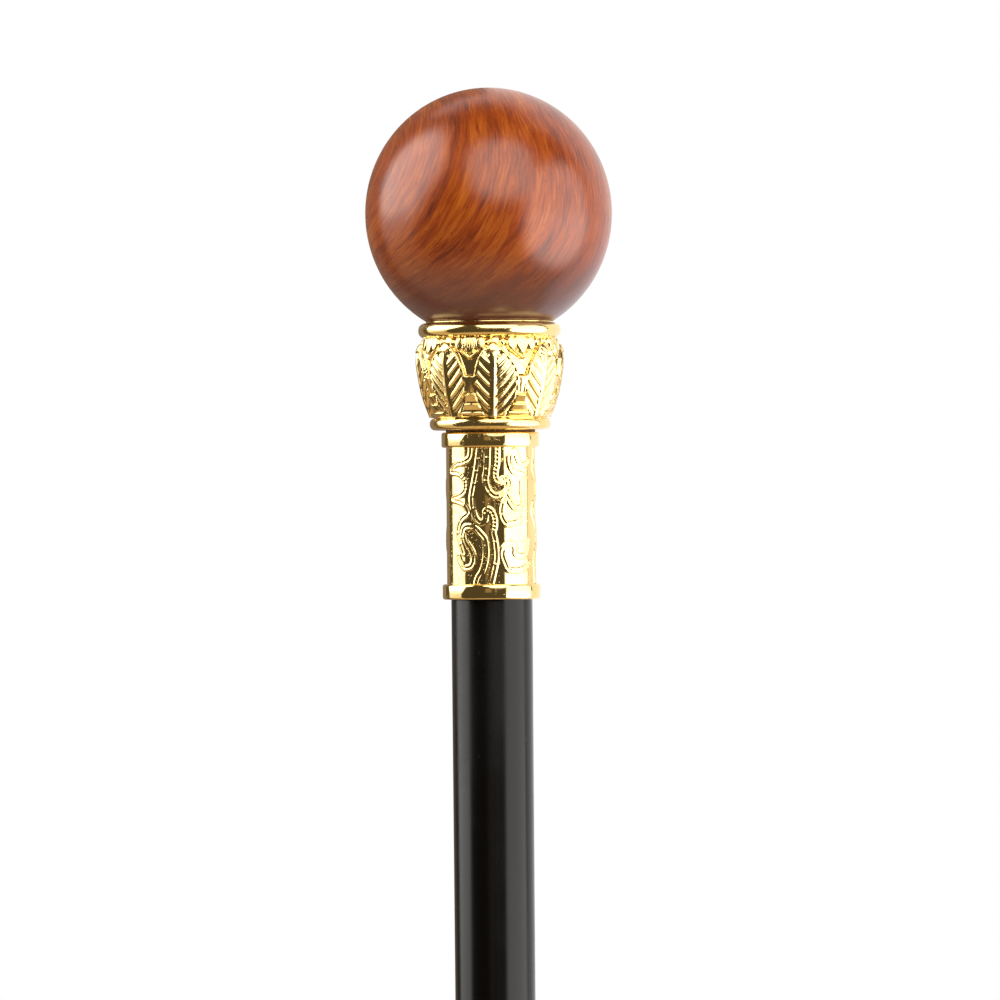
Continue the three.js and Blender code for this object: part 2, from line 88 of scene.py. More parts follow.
class KnobSettings(bpy.types.PropertyGroup):
    """Sizes and colours of the wooden knob."""

    radius: length("Radius", "Half the width of the ball", KNOB_HIGH.x / MM)
    half_height: length("Half height", "Half the height of the whole ball", 28.2)
    spigot_radius: length("Spigot radius", "Radius of the spigot under the seat", 11)
    spigot_height: length("Spigot height", "Length of the spigot", 5.5)
    bore_radius: length("Bore radius", "Radius of the bore for the insert", 5.95)
    bore_height: length("Bore height", "Height of the bore above the seat", 17.5)
    heart_x: length("Heart X", "Where the tree's heart lies, from the ball's middle", 46.4, -200)
    heart_y: length("Heart Y", "Where the tree's heart lies, from the ball's middle", 70.4, -200)
    heart_z: length("Heart Z", "Where the tree's heart lies, from the ball's middle", -34.2, -200)
    light_wood: colour("Light wood", "Pale streaks of the wood", srgb(206, 108, 26))
    warm_wood: colour("Warm wood", "Most of the wood", srgb(168, 70, 6))
    dark_wood: colour("Dark wood", "Dark streaks of the wood", srgb(98, 34, 10))
    # Painted shade: a dark purple-brown for the wood low on the ball, standing in for the shade that falls
    # there
    painted_shade_foot: colour("Foot", "Wood handled dark near the collar", srgb(110, 67, 58))


class CollarSettings(bpy.types.PropertyGroup):
    """Sizes of the cast collar and its leaves."""

    lower_bead_radius: length("Lower bead radius", "Radius of the bead at the foot", 13.6)
    lower_bead_height: length("Lower bead height", "Height of the bead at the foot", 2.7)
    upper_bead_radius: length("Upper bead radius", "Radius of the bead under the knob", 16)
    upper_bead_height: length("Upper bead height", "Height of the bead under the knob", 3.4)
    cup_height: length("Cup height", "Height of the leafed cup between the beads", 17.9)
    leaf_count: IntProperty(name="Leaves", description="Leaves round the cup", default=8, min=3)
    leaf_turn: FloatProperty(
        name="Leaf turn", description="Turn of the first leaf from the front",
        default=math.radians(5.5), subtype="ANGLE", unit="ROTATION",
    )
    leaf_height: length("Leaf height", "Height of a leaf", 16.6)
    vein_pitch: length("Vein pitch", "Height between two side veins", 2.4)


class SleeveSettings(bpy.types.PropertyGroup):
    """Sizes of the scrolled sleeve and its two bands."""

    radius: length("Radius", "Outer radius of the plain tube", 10)
    bore: length("Bore", "Inner radius of the tube", 9.3)
    scroll_width: length("Scroll width", "Width of a scroll", 1.4)
    scroll_rise: length("Scroll rise", "Height of a scroll's edges above the tube", 0.22)
    band_radius: length("Band radius", "Outer radius of a band", 11)
    band_flange: length("Band flange", "Thickness of a band's flange", 1)
    band_wall: length("Band bore", "Inner radius of a band's wall", 10.15)
    band_mouth: length("Band mouth", "Radius of the hole in the top band", 6.6)


class ShaftSettings(bpy.types.PropertyGroup):
    """Sizes and colour of the tapered shaft."""

    top_radius: length("Top radius", "Radius at the top", 9.15)
    end_radius: length("End radius", "Radius at the foot", 8)
    bore_radius: length("Bore radius", "Radius of the bore for the bush", 6.15)
    bore_depth: length("Bore depth", "Depth of the bore for the bush", 24.3)
    paint: colour("Paint", "Black lacquer of the shaft", srgb(5, 4, 5))


class TipSettings(bpy.types.PropertyGroup):
    """Sizes and colour of the rubber tip."""

    foot_radius: length("Foot radius", "Radius of the foot", 17)
    foot_height: length("Foot height", "Height where the flare starts", 5.5)
    neck_radius: length("Neck radius", "Radius of the neck", 11.4)
    neck_height: length("Neck height", "Height where the flare ends", 17)
    lip_radius: length("Lip radius", "Radius of the lip", 11.9)
    lip_height: length("Lip height", "Height of the lip", 4.2)
    floor: length("Floor", "Thickness of rubber under the shaft", 7)
    rib_count: IntProperty(name="Ribs", description="Grooves round the neck", default=3, min=0)
    tread_count: IntProperty(name="Treads", description="Ring grooves under the foot", default=3, min=0)
    rubber: colour("Rubber", "Colour of the rubber", srgb(30, 30, 31))


class MetalSettings(bpy.types.PropertyGroup):
    """Colours of the metals, and the sizes of the screw thread."""

    gold: colour("Gold plate", "Colour of the gilt fittings", (0.95, 0.73, 0.32))
    brass: colour("Brass", "Colour of the plain brass", (0.72, 0.53, 0.23))
    zinc: colour("Zinc", "Colour of the zinced steel", (0.62, 0.64, 0.66))
    # Partly painted reflection: the washer's own brown fibre, lifted towards gold for the gilt reflected
    # into the joint's gap
    fibre_and_reflection: colour("Fibre", "Colour of the joint's washer", srgb(108, 78, 42))
    thread_pitch: length("Thread pitch", "Height of one turn of the stud's thread", 1.25)
    thread_depth: length("Thread depth", "Depth of the stud's thread", 0.7)


class StudioSettings(bpy.types.PropertyGroup):
    """Camera, floor and light."""

    distance: length("Camera distance", "From the stick's axis to the camera", 1600)
    aim_height: length("Aim height", "Height that the camera looks at", 837.6)
    aim_aside: length("Aim aside", "Camera's place to the right of the axis", 2.0, -200)
    lens: FloatProperty(name="Lens", description="Focal length in millimetres", default=257)
    roll: FloatProperty(
        name="Roll", description="Turn of the camera about its view", default=math.radians(0.5),
        subtype="ANGLE", unit="ROTATION",
    )
    floor: colour("Floor", "Colour of the floor", (0.62, 0.62, 0.62))


SETTINGS = {
    "stick_knob": KnobSettings,
    "stick_collar": CollarSettings,
    "stick_sleeve": SleeveSettings,
    "stick_shaft": ShaftSettings,
    "stick_tip": TipSettings,
    "stick_metal": MetalSettings,
    "stick_studio": StudioSettings,
}


# Shader nodes


def node(tree, kind, inputs=None, **settings):
    """A new node with its settings, and with values or links for its inputs."""
    made = tree.nodes.new(kind)
    for key, value in settings.items():
        setattr(made, key, value)
    for key, value in (inputs or {}).items():
        if isinstance(value, bpy.types.NodeSocket):
            tree.links.new(value, made.inputs[key])
        else:
            made.inputs[key].default_value = value
    return made


def sums(tree, operation, *values):
    """The result of one Math node."""
    return node(tree, "ShaderNodeMath", dict(enumerate(values)), operation=operation).outputs[0]


def ranged(tree, value, low, high, to_low=0.0, to_high=1.0, smooth=True):
    """A value moved from one range to another, and held inside it."""
    return node(
        tree, "ShaderNodeMapRange",
        {"Value": value, "From Min": low, "From Max": high, "To Min": to_low, "To Max": to_high},
        interpolation_type="SMOOTHSTEP" if smooth else "LINEAR", clamp=True,
    ).outputs["Result"]


def mixed(tree, factor, first, second):
    """A colour between two colours."""
    first, second = (
        value if isinstance(value, bpy.types.NodeSocket) else (*value, 1) for value in (first, second)
    )
    return node(tree, "ShaderNodeMix", {0: factor, 6: first, 7: second}, data_type="RGBA").outputs[2]


def ramp(tree, factor, stops):
    """A ramp of grey values or colours over a factor."""
    made = node(tree, "ShaderNodeValToRGB", {"Fac": factor})
    elements = made.color_ramp.elements
    while len(elements) < len(stops):
        elements.new(0.5)
    for element, (place, value) in zip(elements, stops):
        element.position = place
        element.color = (*value, 1) if hasattr(value, "__len__") else (value, value, value, 1)
    return made.outputs["Color"]


def noise(tree, vector, scale, detail=2.0, roughness=0.5, distortion=0.0):
    return node(
        tree, "ShaderNodeTexNoise",
        {
            "Vector": vector, "Scale": scale, "Detail": detail, "Roughness": roughness,
            "Distortion": distortion,
        },
    ).outputs["Fac"]


def combined(tree, x, y, z):
    return node(tree, "ShaderNodeCombineXYZ", {"X": x, "Y": y, "Z": z}).outputs[0]


def split(tree, vector):
    """The X, Y and Z of a vector."""
    return node(tree, "ShaderNodeSeparateXYZ", {"Vector": vector}).outputs


def off_axis(tree, x, y):
    """Distance of a place from the Z axis."""
    return node(
        tree, "ShaderNodeVectorMath", {0: combined(tree, x, y, 0.0)}, operation="LENGTH"
    ).outputs["Value"]


# Shared effects: each makes the results of a node group from the group's inputs


def speckle(tree, given):
    """Small scattered spots, such as pits, dust and flecks."""
    spots = noise(tree, given["Vector"], given["Scale"], detail=1.0)
    patches = noise(tree, given["Vector"], sums(tree, "MULTIPLY", given["Scale"], 0.12))
    start = sums(tree, "MULTIPLY_ADD", given["Amount"], -0.6, 1.15)
    value = sums(tree, "MULTIPLY_ADD", patches, 0.5, spots)
    return {"Mask": ranged(tree, value, start, sums(tree, "ADD", start, 0.05))}


def smudges(tree, given):
    """Gloss that changes slowly over a handled surface."""
    cloud = noise(tree, given["Vector"], given["Scale"], detail=4.0, roughness=0.6, distortion=0.4)
    return {"Roughness": ranged(tree, cloud, 0.35, 0.68, given["Low"], given["High"])}


def turning_marks(tree, given):
    """Fine lines that a turning tool leaves round the axis and on flat ends."""
    x, y, z = split(tree, given["Vector"])
    return {"Height": noise(tree, combined(tree, off_axis(tree, x, y), z, 0.0), given["Scale"])}


def wood_grain(tree, given):
    """Growth layers and fibres of wood whose heart is the vector's Z axis, from which the layers lean."""
    x, y, z = split(tree, given["Vector"])
    # Measured from the far side, so that the jump in the angle lies outside the wood
    far_side = (sums(tree, "MULTIPLY", value, -1.0) for value in (y, x))
    angle = sums(tree, "SUBTRACT", sums(tree, "ARCTAN2", *far_side), math.pi)
    drift = sums(tree, "SUBTRACT", noise(tree, given["Vector"], 1.3, detail=3.0), 0.5)
    layer = sums(tree, "MULTIPLY_ADD", z, given["Lean"], off_axis(tree, x, y))
    layer = sums(tree, "MULTIPLY_ADD", drift, given["Waver"], layer)
    depth = sums(tree, "MULTIPLY", layer, given["Fineness"])

    def streaks(across, along, round_it, detail, distortion):
        places = (
            sums(tree, "MULTIPLY", value, scale)
            for value, scale in ((depth, across), (z, along), (angle, round_it))
        )
        return noise(tree, combined(tree, *places), 1.0, detail, 0.62, distortion)

    thin = node(
        tree, "ShaderNodeVectorMath", {0: given["Vector"], 1: (75.0, 36.0, 13.0)}, operation="MULTIPLY"
    ).outputs[0]
    return {
        "Layer": layer,
        "Bands": streaks(13.0, 1.6, 5.0, 3.0, 0.2),
        "Fibres": streaks(72.0, 4.0, 14.0, 5.0, 0.0),
        "Pores": ranged(tree, noise(tree, thin, 1.0, detail=1.0), 0.63, 0.76),
    }


# Each effect with the inputs of its group and their values
EFFECTS = {
    "speckle": (speckle, {"Vector": None, "Scale": 1000.0, "Amount": 0.3}),
    "smudges": (smudges, {"Vector": None, "Scale": 60.0, "Low": 0.1, "High": 0.2}),
    "turning_marks": (turning_marks, {"Vector": None, "Scale": 4000.0}),
    "wood_grain": (wood_grain, {"Vector": None, "Lean": 0.0, "Waver": 0.03, "Fineness": 1.0}),
}


def built_effect(name):
    """The node group of a shared effect."""
    make, inputs = EFFECTS[name]
    tree = bpy.data.node_groups.new(name, "ShaderNodeTree")
    for key, default in inputs.items():
        kind = "NodeSocketVector" if default is None else "NodeSocketFloat"
        socket = tree.interface.new_socket(name=key, in_out="INPUT", socket_type=kind)
        if default is not None:
            socket.default_value = default
    results = make(tree, tree.nodes.new("NodeGroupInput").outputs)
    for key in results:
        tree.interface.new_socket(name=key, in_out="OUTPUT", socket_type="NodeSocketFloat")
    node(tree, "NodeGroupOutput", results)
    return tree


def placed(tree, name, where, **inputs):
    """A shared effect placed in a tree. Its group is built when a material first asks for it."""
    group = bpy.data.node_groups.get(name) or built_effect(name)
    return node(tree, "ShaderNodeGroup", {"Vector": where, **inputs}, node_tree=group).outputs


# Materials


def shader(name, inputs):
    """A material with a Principled shader: the material, its tree, its shader and object coordinates."""
    material = bpy.data.materials.new(name)
    material.use_nodes = True
    tree = material.node_tree
    surface = tree.nodes["Principled BSDF"]
    for key, value in inputs.items():
        surface.inputs[key].default_value = (*value, 1) if hasattr(value, "__len__") else value
    where = tree.nodes.new("ShaderNodeTexCoord").outputs["Object"]
    return material, tree, surface, where


def dress(tree, surface, colour, roughness, height, strength, depth):
    """Feeds a colour, a roughness and a height of some depth in millimetres into a shader."""
    bump = node(tree, "ShaderNodeBump", {"Height": height, "Strength": strength, "Distance": depth * MM})
    normal = bump.outputs["Normal"]
    for key, value in (("Base Color", colour), ("Roughness", roughness), ("Normal", normal)):
        tree.links.new(value, surface.inputs[key])


def gloss(tree, where, scale, low, high):
    """Roughness between two values, in smudges."""
    return placed(tree, "smudges", where, Scale=scale, Low=low, High=high)["Roughness"]


def specks(tree, where, scale, amount):
    """Mask of scattered spots."""
    return placed(tree, "speckle", where, Scale=scale, Amount=amount)["Mask"]


# Distance of a growth layer from the tree's heart, in ball radii, with its tone
LAYER_TONES = (
    (2.9, 0.5), (3.3, 0.45), (3.52, 0.3), (3.62, 0.52), (3.705, 0.24), (3.745, 0.28),
    (3.79, 0.52), (3.86, 0.66), (3.98, 0.42), (4.02, 0.55), (4.1, 0.68), (4.14, 0.48),
    (4.2, 0.3), (4.24, 0.52), (4.325, 0.76), (4.355, 0.3), (4.395, 0.52), (4.44, 0.22),
    (4.49, 0.66), (4.56, 0.4), (4.63, 0.62), (4.71, 0.7), (4.78, 0.4), (4.9, 0.6),
)
# Directions across, round and along the tree's heart
HEART_AXES = ((0.343, 0.886, -0.311), (0.831, -0.441, -0.339), (-0.4374, -0.1425, -0.8879))
HEART_FLATNESS = 2.117


def polished_wood(name, knob):
    material, tree, surface, where = shader(
        name,
        {
            "Metallic": 0.08, "Coat Weight": 1.0, "Coat Roughness": 0.26, "Coat IOR": 1.6,
            "Specular IOR Level": 0.0,
        },
    )
    middle = KNOB_HIGH.z - knob.half_height
    from_heart = node(
        tree, "ShaderNodeMapping",
        {
            "Vector": where, "Location": (knob.heart_x, knob.heart_y, middle + knob.heart_z),
            "Rotation": Matrix(HEART_AXES).transposed().to_euler(),
            "Scale": (knob.radius, knob.radius / HEART_FLATNESS, knob.radius),
        },
        vector_type="TEXTURE",
    ).outputs[0]
    grain = placed(tree, "wood_grain", from_heart, Lean=0.116, Waver=0.09, Fineness=1.0)
    low, high = LAYER_TONES[0][0], LAYER_TONES[-1][0]
    share = ranged(tree, grain["Layer"], low, high, smooth=False)
    tone = ramp(tree, share, [((depth - low) / (high - low), tone) for depth, tone in LAYER_TONES])
    clouds = noise(tree, from_heart, 1.9, detail=3.0)
    parts = ((tone, 0.5), (clouds, 0.3), (grain["Bands"], 0.8), (grain["Fibres"], 1.15))
    total = 0.5 - 0.5 * sum(weight for _, weight in parts)
    for value, weight in parts:
        total = sums(tree, "MULTIPLY_ADD", value, weight, total)
    wood = ramp(tree, total, [(0.12, knob.dark_wood), (0.5, knob.warm_wood), (0.9, knob.light_wood)])
    height = split(tree, where)["Z"]
    # Painted shade: the wood turns dark purple-brown towards the bottom of the ball, where the shade falls
    low_down = ranged(tree, height, middle - 0.2 * knob.radius, middle - 0.85 * knob.radius, 0.0, 0.9)
    wood = mixed(tree, low_down, wood, knob.painted_shade_foot)
    pored = mixed(tree, sums(tree, "MULTIPLY", grain["Pores"], 0.5), wood, knob.dark_wood)
    grooves = sums(tree, "SUBTRACT", grain["Fibres"], grain["Pores"])
    dress(tree, surface, pored, gloss(tree, where, 70.0, 0.38, 0.5), grooves, 0.25, 0.03)
    return material


def gilt(name, metal, pitting=0.02, low=0.045, high=0.1):
    material, tree, surface, where = shader(name, {"Metallic": 1.0})
    pits = specks(tree, where, 1500.0, 0.42)
    haze = ranged(tree, noise(tree, where, 90.0, detail=3.0), 0.35, 0.7, 0.0, 0.22)
    tint = mixed(tree, haze, metal.gold, srgb(226, 168, 62))
    worn = mixed(tree, sums(tree, "MULTIPLY", pits, 0.35), tint, srgb(190, 130, 40))
    rough = sums(tree, "MULTIPLY_ADD", pits, 0.15, gloss(tree, where, 160.0, low, high))
    waves = sums(tree, "MULTIPLY", noise(tree, where, 420.0), 0.6)
    dress(tree, surface, worn, rough, sums(tree, "SUBTRACT", waves, pits), 0.35, pitting)
    return material


def turned_brass(name, metal):
    material, tree, surface, where = shader(name, {"Metallic": 1.0})
    haze = ranged(tree, noise(tree, where, 260.0, detail=4.0), 0.4, 0.75)
    dull = mixed(tree, haze, metal.brass, srgb(150, 112, 52))
    marks = placed(tree, "turning_marks", where, Scale=5000.0)["Height"]
    dress(tree, surface, dull, gloss(tree, where, 300.0, 0.25, 0.42), marks, 0.5, 0.02)
    return material


def zinc_coat(name, metal):
    material, tree, surface, where = shader(name, {"Metallic": 1.0})
    cloud = noise(tree, where, 420.0, detail=4.0, roughness=0.65, distortion=0.6)
    dull = mixed(tree, ranged(tree, cloud, 0.4, 0.7), metal.zinc, srgb(150, 150, 146))
    spots = sums(tree, "MULTIPLY", specks(tree, where, 2600.0, 0.45), 0.5)
    spotted = mixed(tree, spots, dull, srgb(98, 96, 92))
    marks = placed(tree, "turning_marks", where, Scale=3800.0)["Height"]
    height = sums(tree, "ADD", marks, cloud)
    dress(tree, surface, spotted, gloss(tree, where, 500.0, 0.28, 0.46), height, 0.35, 0.02)
    return material


def pressed_fibre(name, metal):
    material, tree, surface, where = shader(name, {})
    strands = noise(tree, where, 2200.0, detail=3.0, distortion=1.5)
    # Partly painted reflection: the fibre's brown is lifted towards gold, standing in for the gilt
    # reflected into the joint's gap
    base = mixed(tree, ranged(tree, strands, 0.35, 0.7), metal.fibre_and_reflection, srgb(92, 68, 40))
    flecked = mixed(tree, specks(tree, where, 3200.0, 0.55), base, srgb(132, 104, 66))
    dress(tree, surface, flecked, gloss(tree, where, 400.0, 0.7, 0.9), strands, 0.6, 0.05)
    return material


def black_lacquer(name, shaft):
    material, tree, surface, where = shader(name, {"IOR": 1.36})
    from_heart = node(
        tree, "ShaderNodeMapping",
        {"Vector": where, "Location": (0.06, 0.03, 0), "Scale": (0.03, 0.03, 0.4)}, vector_type="TEXTURE",
    ).outputs[0]
    grain = placed(tree, "wood_grain", from_heart, Waver=0.2, Fineness=0.6)
    dust = specks(tree, where, 900.0, 0.2)
    base = mixed(tree, ranged(tree, grain["Bands"], 0.35, 0.7), shaft.paint, srgb(10, 8, 9))
    dusty = mixed(tree, sums(tree, "MULTIPLY", dust, 0.3), base, srgb(50, 46, 46))
    height = sums(tree, "ADD", grain["Fibres"], dust)
    dress(tree, surface, dusty, gloss(tree, where, 45.0, 0.2, 0.28), height, 0.3, 0.03)
    return material


def worn_rubber(name, tip):
    material, tree, surface, where = shader(name, {"IOR": 1.45})
    cloud = noise(tree, where, 130.0, detail=5.0, roughness=0.65)
    base = mixed(tree, ranged(tree, cloud, 0.4, 0.72), tip.rubber, srgb(48, 47, 46))
    dust = specks(tree, where, 1300.0, 0.42)
    scuffs = sums(tree, "MAXIMUM", dust, ranged(tree, cloud, 0.5, 0.8))
    low_down = ranged(tree, split(tree, where)["Z"], 6 * MM, 0.0)
    worn = sums(tree, "MULTIPLY", sums(tree, "MAXIMUM", low_down, 0.25), scuffs)
    grit = sums(tree, "ADD", noise(tree, where, 2400.0, detail=3.0), dust)
    scuffed = mixed(tree, worn, base, srgb(96, 93, 88))
    dress(tree, surface, scuffed, gloss(tree, where, 110.0, 0.55, 0.78), grit, 0.45, 0.05)
    return material


# Each finish with its maker, its settings and what it has of its own. The sleeve's ground is pitted, and
# the collar's gilding is softer than that of the turned pieces.
FINISHES = {
    "polished_wood": (polished_wood, "stick_knob", {}),
    "gilt": (gilt, "stick_metal", {}),
    "stippled_gilt": (gilt, "stick_metal", {"pitting": 0.05}),
    "cast_gilt": (gilt, "stick_metal", {"pitting": 0.045, "low": 0.09, "high": 0.16}),
    "turned_brass": (turned_brass, "stick_metal", {}),
    "zinc_coat": (zinc_coat, "stick_metal", {}),
    "pressed_fibre": (pressed_fibre, "stick_metal", {}),
    "black_lacquer": (black_lacquer, "stick_shaft", {}),
    "worn_rubber": (worn_rubber, "stick_tip", {}),
}


def finish(context, name):
    """One of the stick's finishes, made when a piece first asks for it."""
    make, settings, own = FINISHES[name]
    return bpy.data.materials.get(name) or make(name, getattr(context.scene, settings), **own)


# Shapes


# Steps round the axis of each turned piece, and of one turn of the thread
KNOB_STEPS = 176
COLLAR_STEPS = 544
SLEEVE_STEPS = 432
BAND_STEPS = 192
SHAFT_STEPS = 160
TIP_STEPS = 176
THREAD_STEPS = 40
# Steps up the knob, and up the tip's flare
KNOB_RINGS = 112
FLARE_STEPS = 16
# Cuts up the walls that are carved
COLLAR_CUTS = 119
SLEEVE_CUTS = 219
# Equal parts in which a piece is turned
SECTORS = 8
# Distance in metres within which vertices are one
MERGE = 0.002 * MM
# How far the height of a cut edge may miss its plane, in metres
ROUNDING_ERROR = 1e-7


def lay_outline(bm, corners, closed=False, segments=5):
    """Lays and rounds an outline of (radius, height, rounding) corners. Sharp ones keep their vertices."""
    verts = [bm.verts.new((radius, 0, height)) for radius, height, _ in corners]
    pairs = list(zip(verts, verts[1:])) + ([(verts[-1], verts[0])] if closed else [])
    for pair in pairs:
        bm.edges.new(pair)
    for vert, (_, _, rounding) in zip(verts, corners):
        if rounding:
            bmesh.ops.bevel(
                bm, geom=[vert], offset=rounding, offset_type="OFFSET", segments=segments, profile=0.5,
                affect="VERTICES", material=-1,
            )
    return verts


def repeat(bm, count, turn=0.0, rise=0.0):
    """Copies everything in the mesh a number of times, each copy turned and raised further."""
    first = bm.verts[:] + bm.edges[:] + bm.faces[:]
    for i in range(1, count):
        copy = bmesh.ops.duplicate(bm, geom=first)["geom"]
        verts = [item for item in copy if isinstance(item, bmesh.types.BMVert)]
        bmesh.ops.rotate(bm, cent=(0, 0, 0), matrix=Matrix.Rotation(i * turn, 3, "Z"), verts=verts)
        bmesh.ops.translate(bm, vec=(0, 0, i * rise), verts=verts)


def spin(bm, angle, steps, rise=0.0):
    """Sweeps everything in the mesh round the stick's axis, raised a little with each step."""
    bmesh.ops.spin(
        bm, geom=bm.verts[:] + bm.edges[:], cent=(0, 0, 0), axis=(0, 0, 1), dvec=(0, 0, rise),
        angle=angle, steps=steps, use_merge=False,
    )


def turn_round(bm, steps):
    """Turns everything in the mesh once round the stick's axis, an eighth at a time."""
    sector = 2 * math.pi / SECTORS
    spin(bm, sector, steps // SECTORS)
    repeat(bm, SECTORS, turn=sector)
    bmesh.ops.remove_doubles(bm, verts=bm.verts[:], dist=MERGE)
    bmesh.ops.recalc_face_normals(bm, faces=bm.faces[:])


def divide_wall(bm, low_end, high_end, cuts):
    """Cuts the outline between two of its corners into equal steps, for the carving."""
    wall = next(edge for edge in low_end.link_edges if edge.other_vert(low_end) is high_end)
    bmesh.ops.subdivide_edges(bm, edges=[wall], cuts=cuts)


def turned(corners, steps, closed=False, segments=5):
    """A mesh turned from an outline in millimetres."""
    bm = bmesh.new()
    lay_outline(bm, [(r * MM, z * MM, q * MM) for r, z, q in corners], closed, segments)
    turn_round(bm, steps)
    return bm


def step_ring(bm, ring, radius, height):
    """Extrudes a ring of edges to another radius and height, and gives the new ring."""
    made = bmesh.ops.extrude_edge_only(bm, edges=ring)["geom"]
    verts = [item for item in made if isinstance(item, bmesh.types.BMVert)]
    old = verts[0].co.xy.length
    bmesh.ops.scale(bm, vec=(radius / old, radius / old, 1), verts=verts)
    bmesh.ops.translate(bm, vec=(0, 0, height - verts[0].co.z), verts=verts)
    return [item for item in made if isinstance(item, bmesh.types.BMEdge)]


def finished(name, bm, material, body, node_name, sharp=35):
    """Makes the object of a piece, which stands for a node of the frame and rides on its body."""
    mesh = bpy.data.meshes.new(name)
    bm.to_mesh(mesh)
    bm.free()
    mesh.materials.append(material)
    mesh.shade_smooth()
    if sharp:
        mesh.set_sharp_from_angle(angle=math.radians(sharp))
    piece = bpy.data.objects.new(name, mesh)
    bpy.context.scene.collection.objects.link(piece)
    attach(piece, body)
    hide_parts(node_name)
    return piece


def smooth(low, high, value):
    """Rises from 0 to 1 between two values, with soft ends."""
    share = np.clip((value - low) / (high - low), 0, 1)
    return share * share * (3 - 2 * share)


def ridge(distance, half_width):
    """A rounded ridge of height 1 about distance 0."""
    return np.clip(1 - (distance / half_width) ** 2, 0, 1) ** 0.75


def carve(piece, low, high, least_radius, radius_at):
    """Moves outer vertices between two heights to the radius that radius_at gives for turn and height."""
    mesh = piece.data
    places = np.empty(len(mesh.vertices) * 3)
    mesh.vertices.foreach_get("co", places)
    places = places.reshape(-1, 3)
    radius = np.hypot(places[:, 0], places[:, 1])
    outer = (radius > least_radius) & (places[:, 2] > low) & (places[:, 2] < high)
    turn = np.arctan2(places[outer, 0], -places[outer, 1])
    places[outer, :2] *= (radius_at(turn, places[outer, 2]) / radius[outer])[:, None]
    mesh.vertices.foreach_set("co", places.astype(np.float32).ravel())
    mesh.update()


# Shares of a leaf's height with its half width in millimetres
LEAF_HALF_WIDTHS = (
    (0.0, 0.12, 0.19, 0.27, 0.35, 0.45, 0.53, 0.6, 0.67, 0.8, 0.88, 0.94, 1.0),
    (2.75, 3.6, 4.45, 4.95, 5.2, 5.25, 5.05, 4.9, 4.6, 3.5, 2.6, 1.8, 0.0),
)
# How far each leaf's middle rib stands aside in millimetres, from the front leaf on to the right
RIB_SHIFTS = (-0.75, -0.3, 0.35, -0.2, 0.4, -0.35, 0.15, 0.3)
# Rises of a leaf's parts in millimetres
BLADE_RISE = 0.8
CURL_RISE = 0.4
RIB_RISE = 0.3
RIM_RISE = 0.22
TIP_RISE = 1.35
# Where the first side vein starts, and how soon a vein is at its highest, as shares of their pitch
VEIN_START = 0.5
VEIN_CREST = 0.12
# Heights of small parts in millimetres above the cup's foot, with their half widths and half heights
TIP_BUD = (15.6, 1.3, 1.1)
LEAF_HOLLOW = (14.1, 0.6, 0.75)
FAN = (17.4, 1.5, 3.6)
SIDE_PETAL = (16.5, 1.2, 1.9)
SIDE_LOBE = (16.8, 0.7, 1.1)
# Heights in millimetres with the half width of the vase between two leaves
VASE_HALF_WIDTHS = ((0.0, 1.2, 2.4, 3.5, 5.2, 9.6), (2.9, 2.5, 1.9, 1.5, 1.3, 1.35))
# Heights in millimetres where the vase steps in
VASE_TIERS = ((0.0, 1.2, 3.1, 5.3, 9.6), (0, 1, 2, 3, 4))
# Height shares of the cup with the radius of its outline in millimetres
CUP_OUTLINE = ((0.0, 0.33, 0.75, 1.0), (13.7, 15.6, 16.35, 15.6))
# How deep the ground between the leaves lies under that outline, in millimetres
CUP_GROUND = 1.3


def lump(across, up, place):
    """A rounded bud of height 1 at a height and with a half width and a half height."""
    middle, half_width, half_height = place
    return np.sqrt(np.clip(1 - (across / half_width) ** 2 - ((up - middle) / half_height) ** 2, 0, 1))


def leaf(across, up, share, shift, spacing):
    """Rise of a leaf: a flat blade with a rim, a middle rib, slanting veins and a tip that curls out."""
    aside = np.abs(across)
    edge = np.interp(share, *LEAF_HALF_WIDTHS) - aside
    edge -= shift * (1 - smooth(0.6, 0.9, share)) * np.sign(across)
    blade = BLADE_RISE + 0.05 * edge - 0.12 * aside * (1 - smooth(0.2, 0.6, share))
    blade += CURL_RISE * smooth(0.5, 0.85, share) * (1 - 0.4 * smooth(0.85, 0.95, share))
    phase = ((up - 0.8 * aside - 0.06 * aside**2) / spacing + VEIN_START) % 1
    width = 0.36 + 0.07 * aside
    steep = 0.68 + 0.65 * (1 - smooth(0.2, 0.75, share))
    vein = steep * np.clip(np.minimum(phase * (width - VEIN_CREST) / VEIN_CREST, width - phase), 0, 1)
    vein += 0.09 * ridge((phase - 0.84) * spacing, 0.2) * smooth(3.8, 2.4, aside)
    blade += vein * smooth(0.55, 0.8, aside) * smooth(0.55, 0.9, edge) * smooth(0.3, 1.2, up)
    blade += RIB_RISE * ridge(aside, 0.5 + 0.35 * (1 - share))
    blade += RIM_RISE * ridge(edge - 0.36, 0.3) * smooth(0.5, 2.0, up)
    blade -= 0.4 * lump(aside - 1.3, up, LEAF_HOLLOW)
    bud = lump(across, up, TIP_BUD)
    tip = TIP_RISE + 0.3 * bud - 0.3 * (up - TIP_BUD[0])
    return np.maximum(blade * smooth(0.0, 0.3, edge), tip * smooth(0.0, 0.5, bud))


def vase(gap, up):
    """Rise of the stepped vase between the leaves' feet."""
    half = np.interp(up, *VASE_HALF_WIDTHS)
    tier = np.interp(up, *VASE_TIERS) % 1
    rise = 0.25 + 0.8 * np.minimum(tier, 6 * (1 - tier)) + 0.2 * (1 - gap / half)
    rise += 0.25 * (1 - smooth(5.2, 5.4, up))
    return rise * smooth(0.0, 0.3, half - gap) * smooth(0.0, 0.25, VASE_TIERS[0][-1] - up)


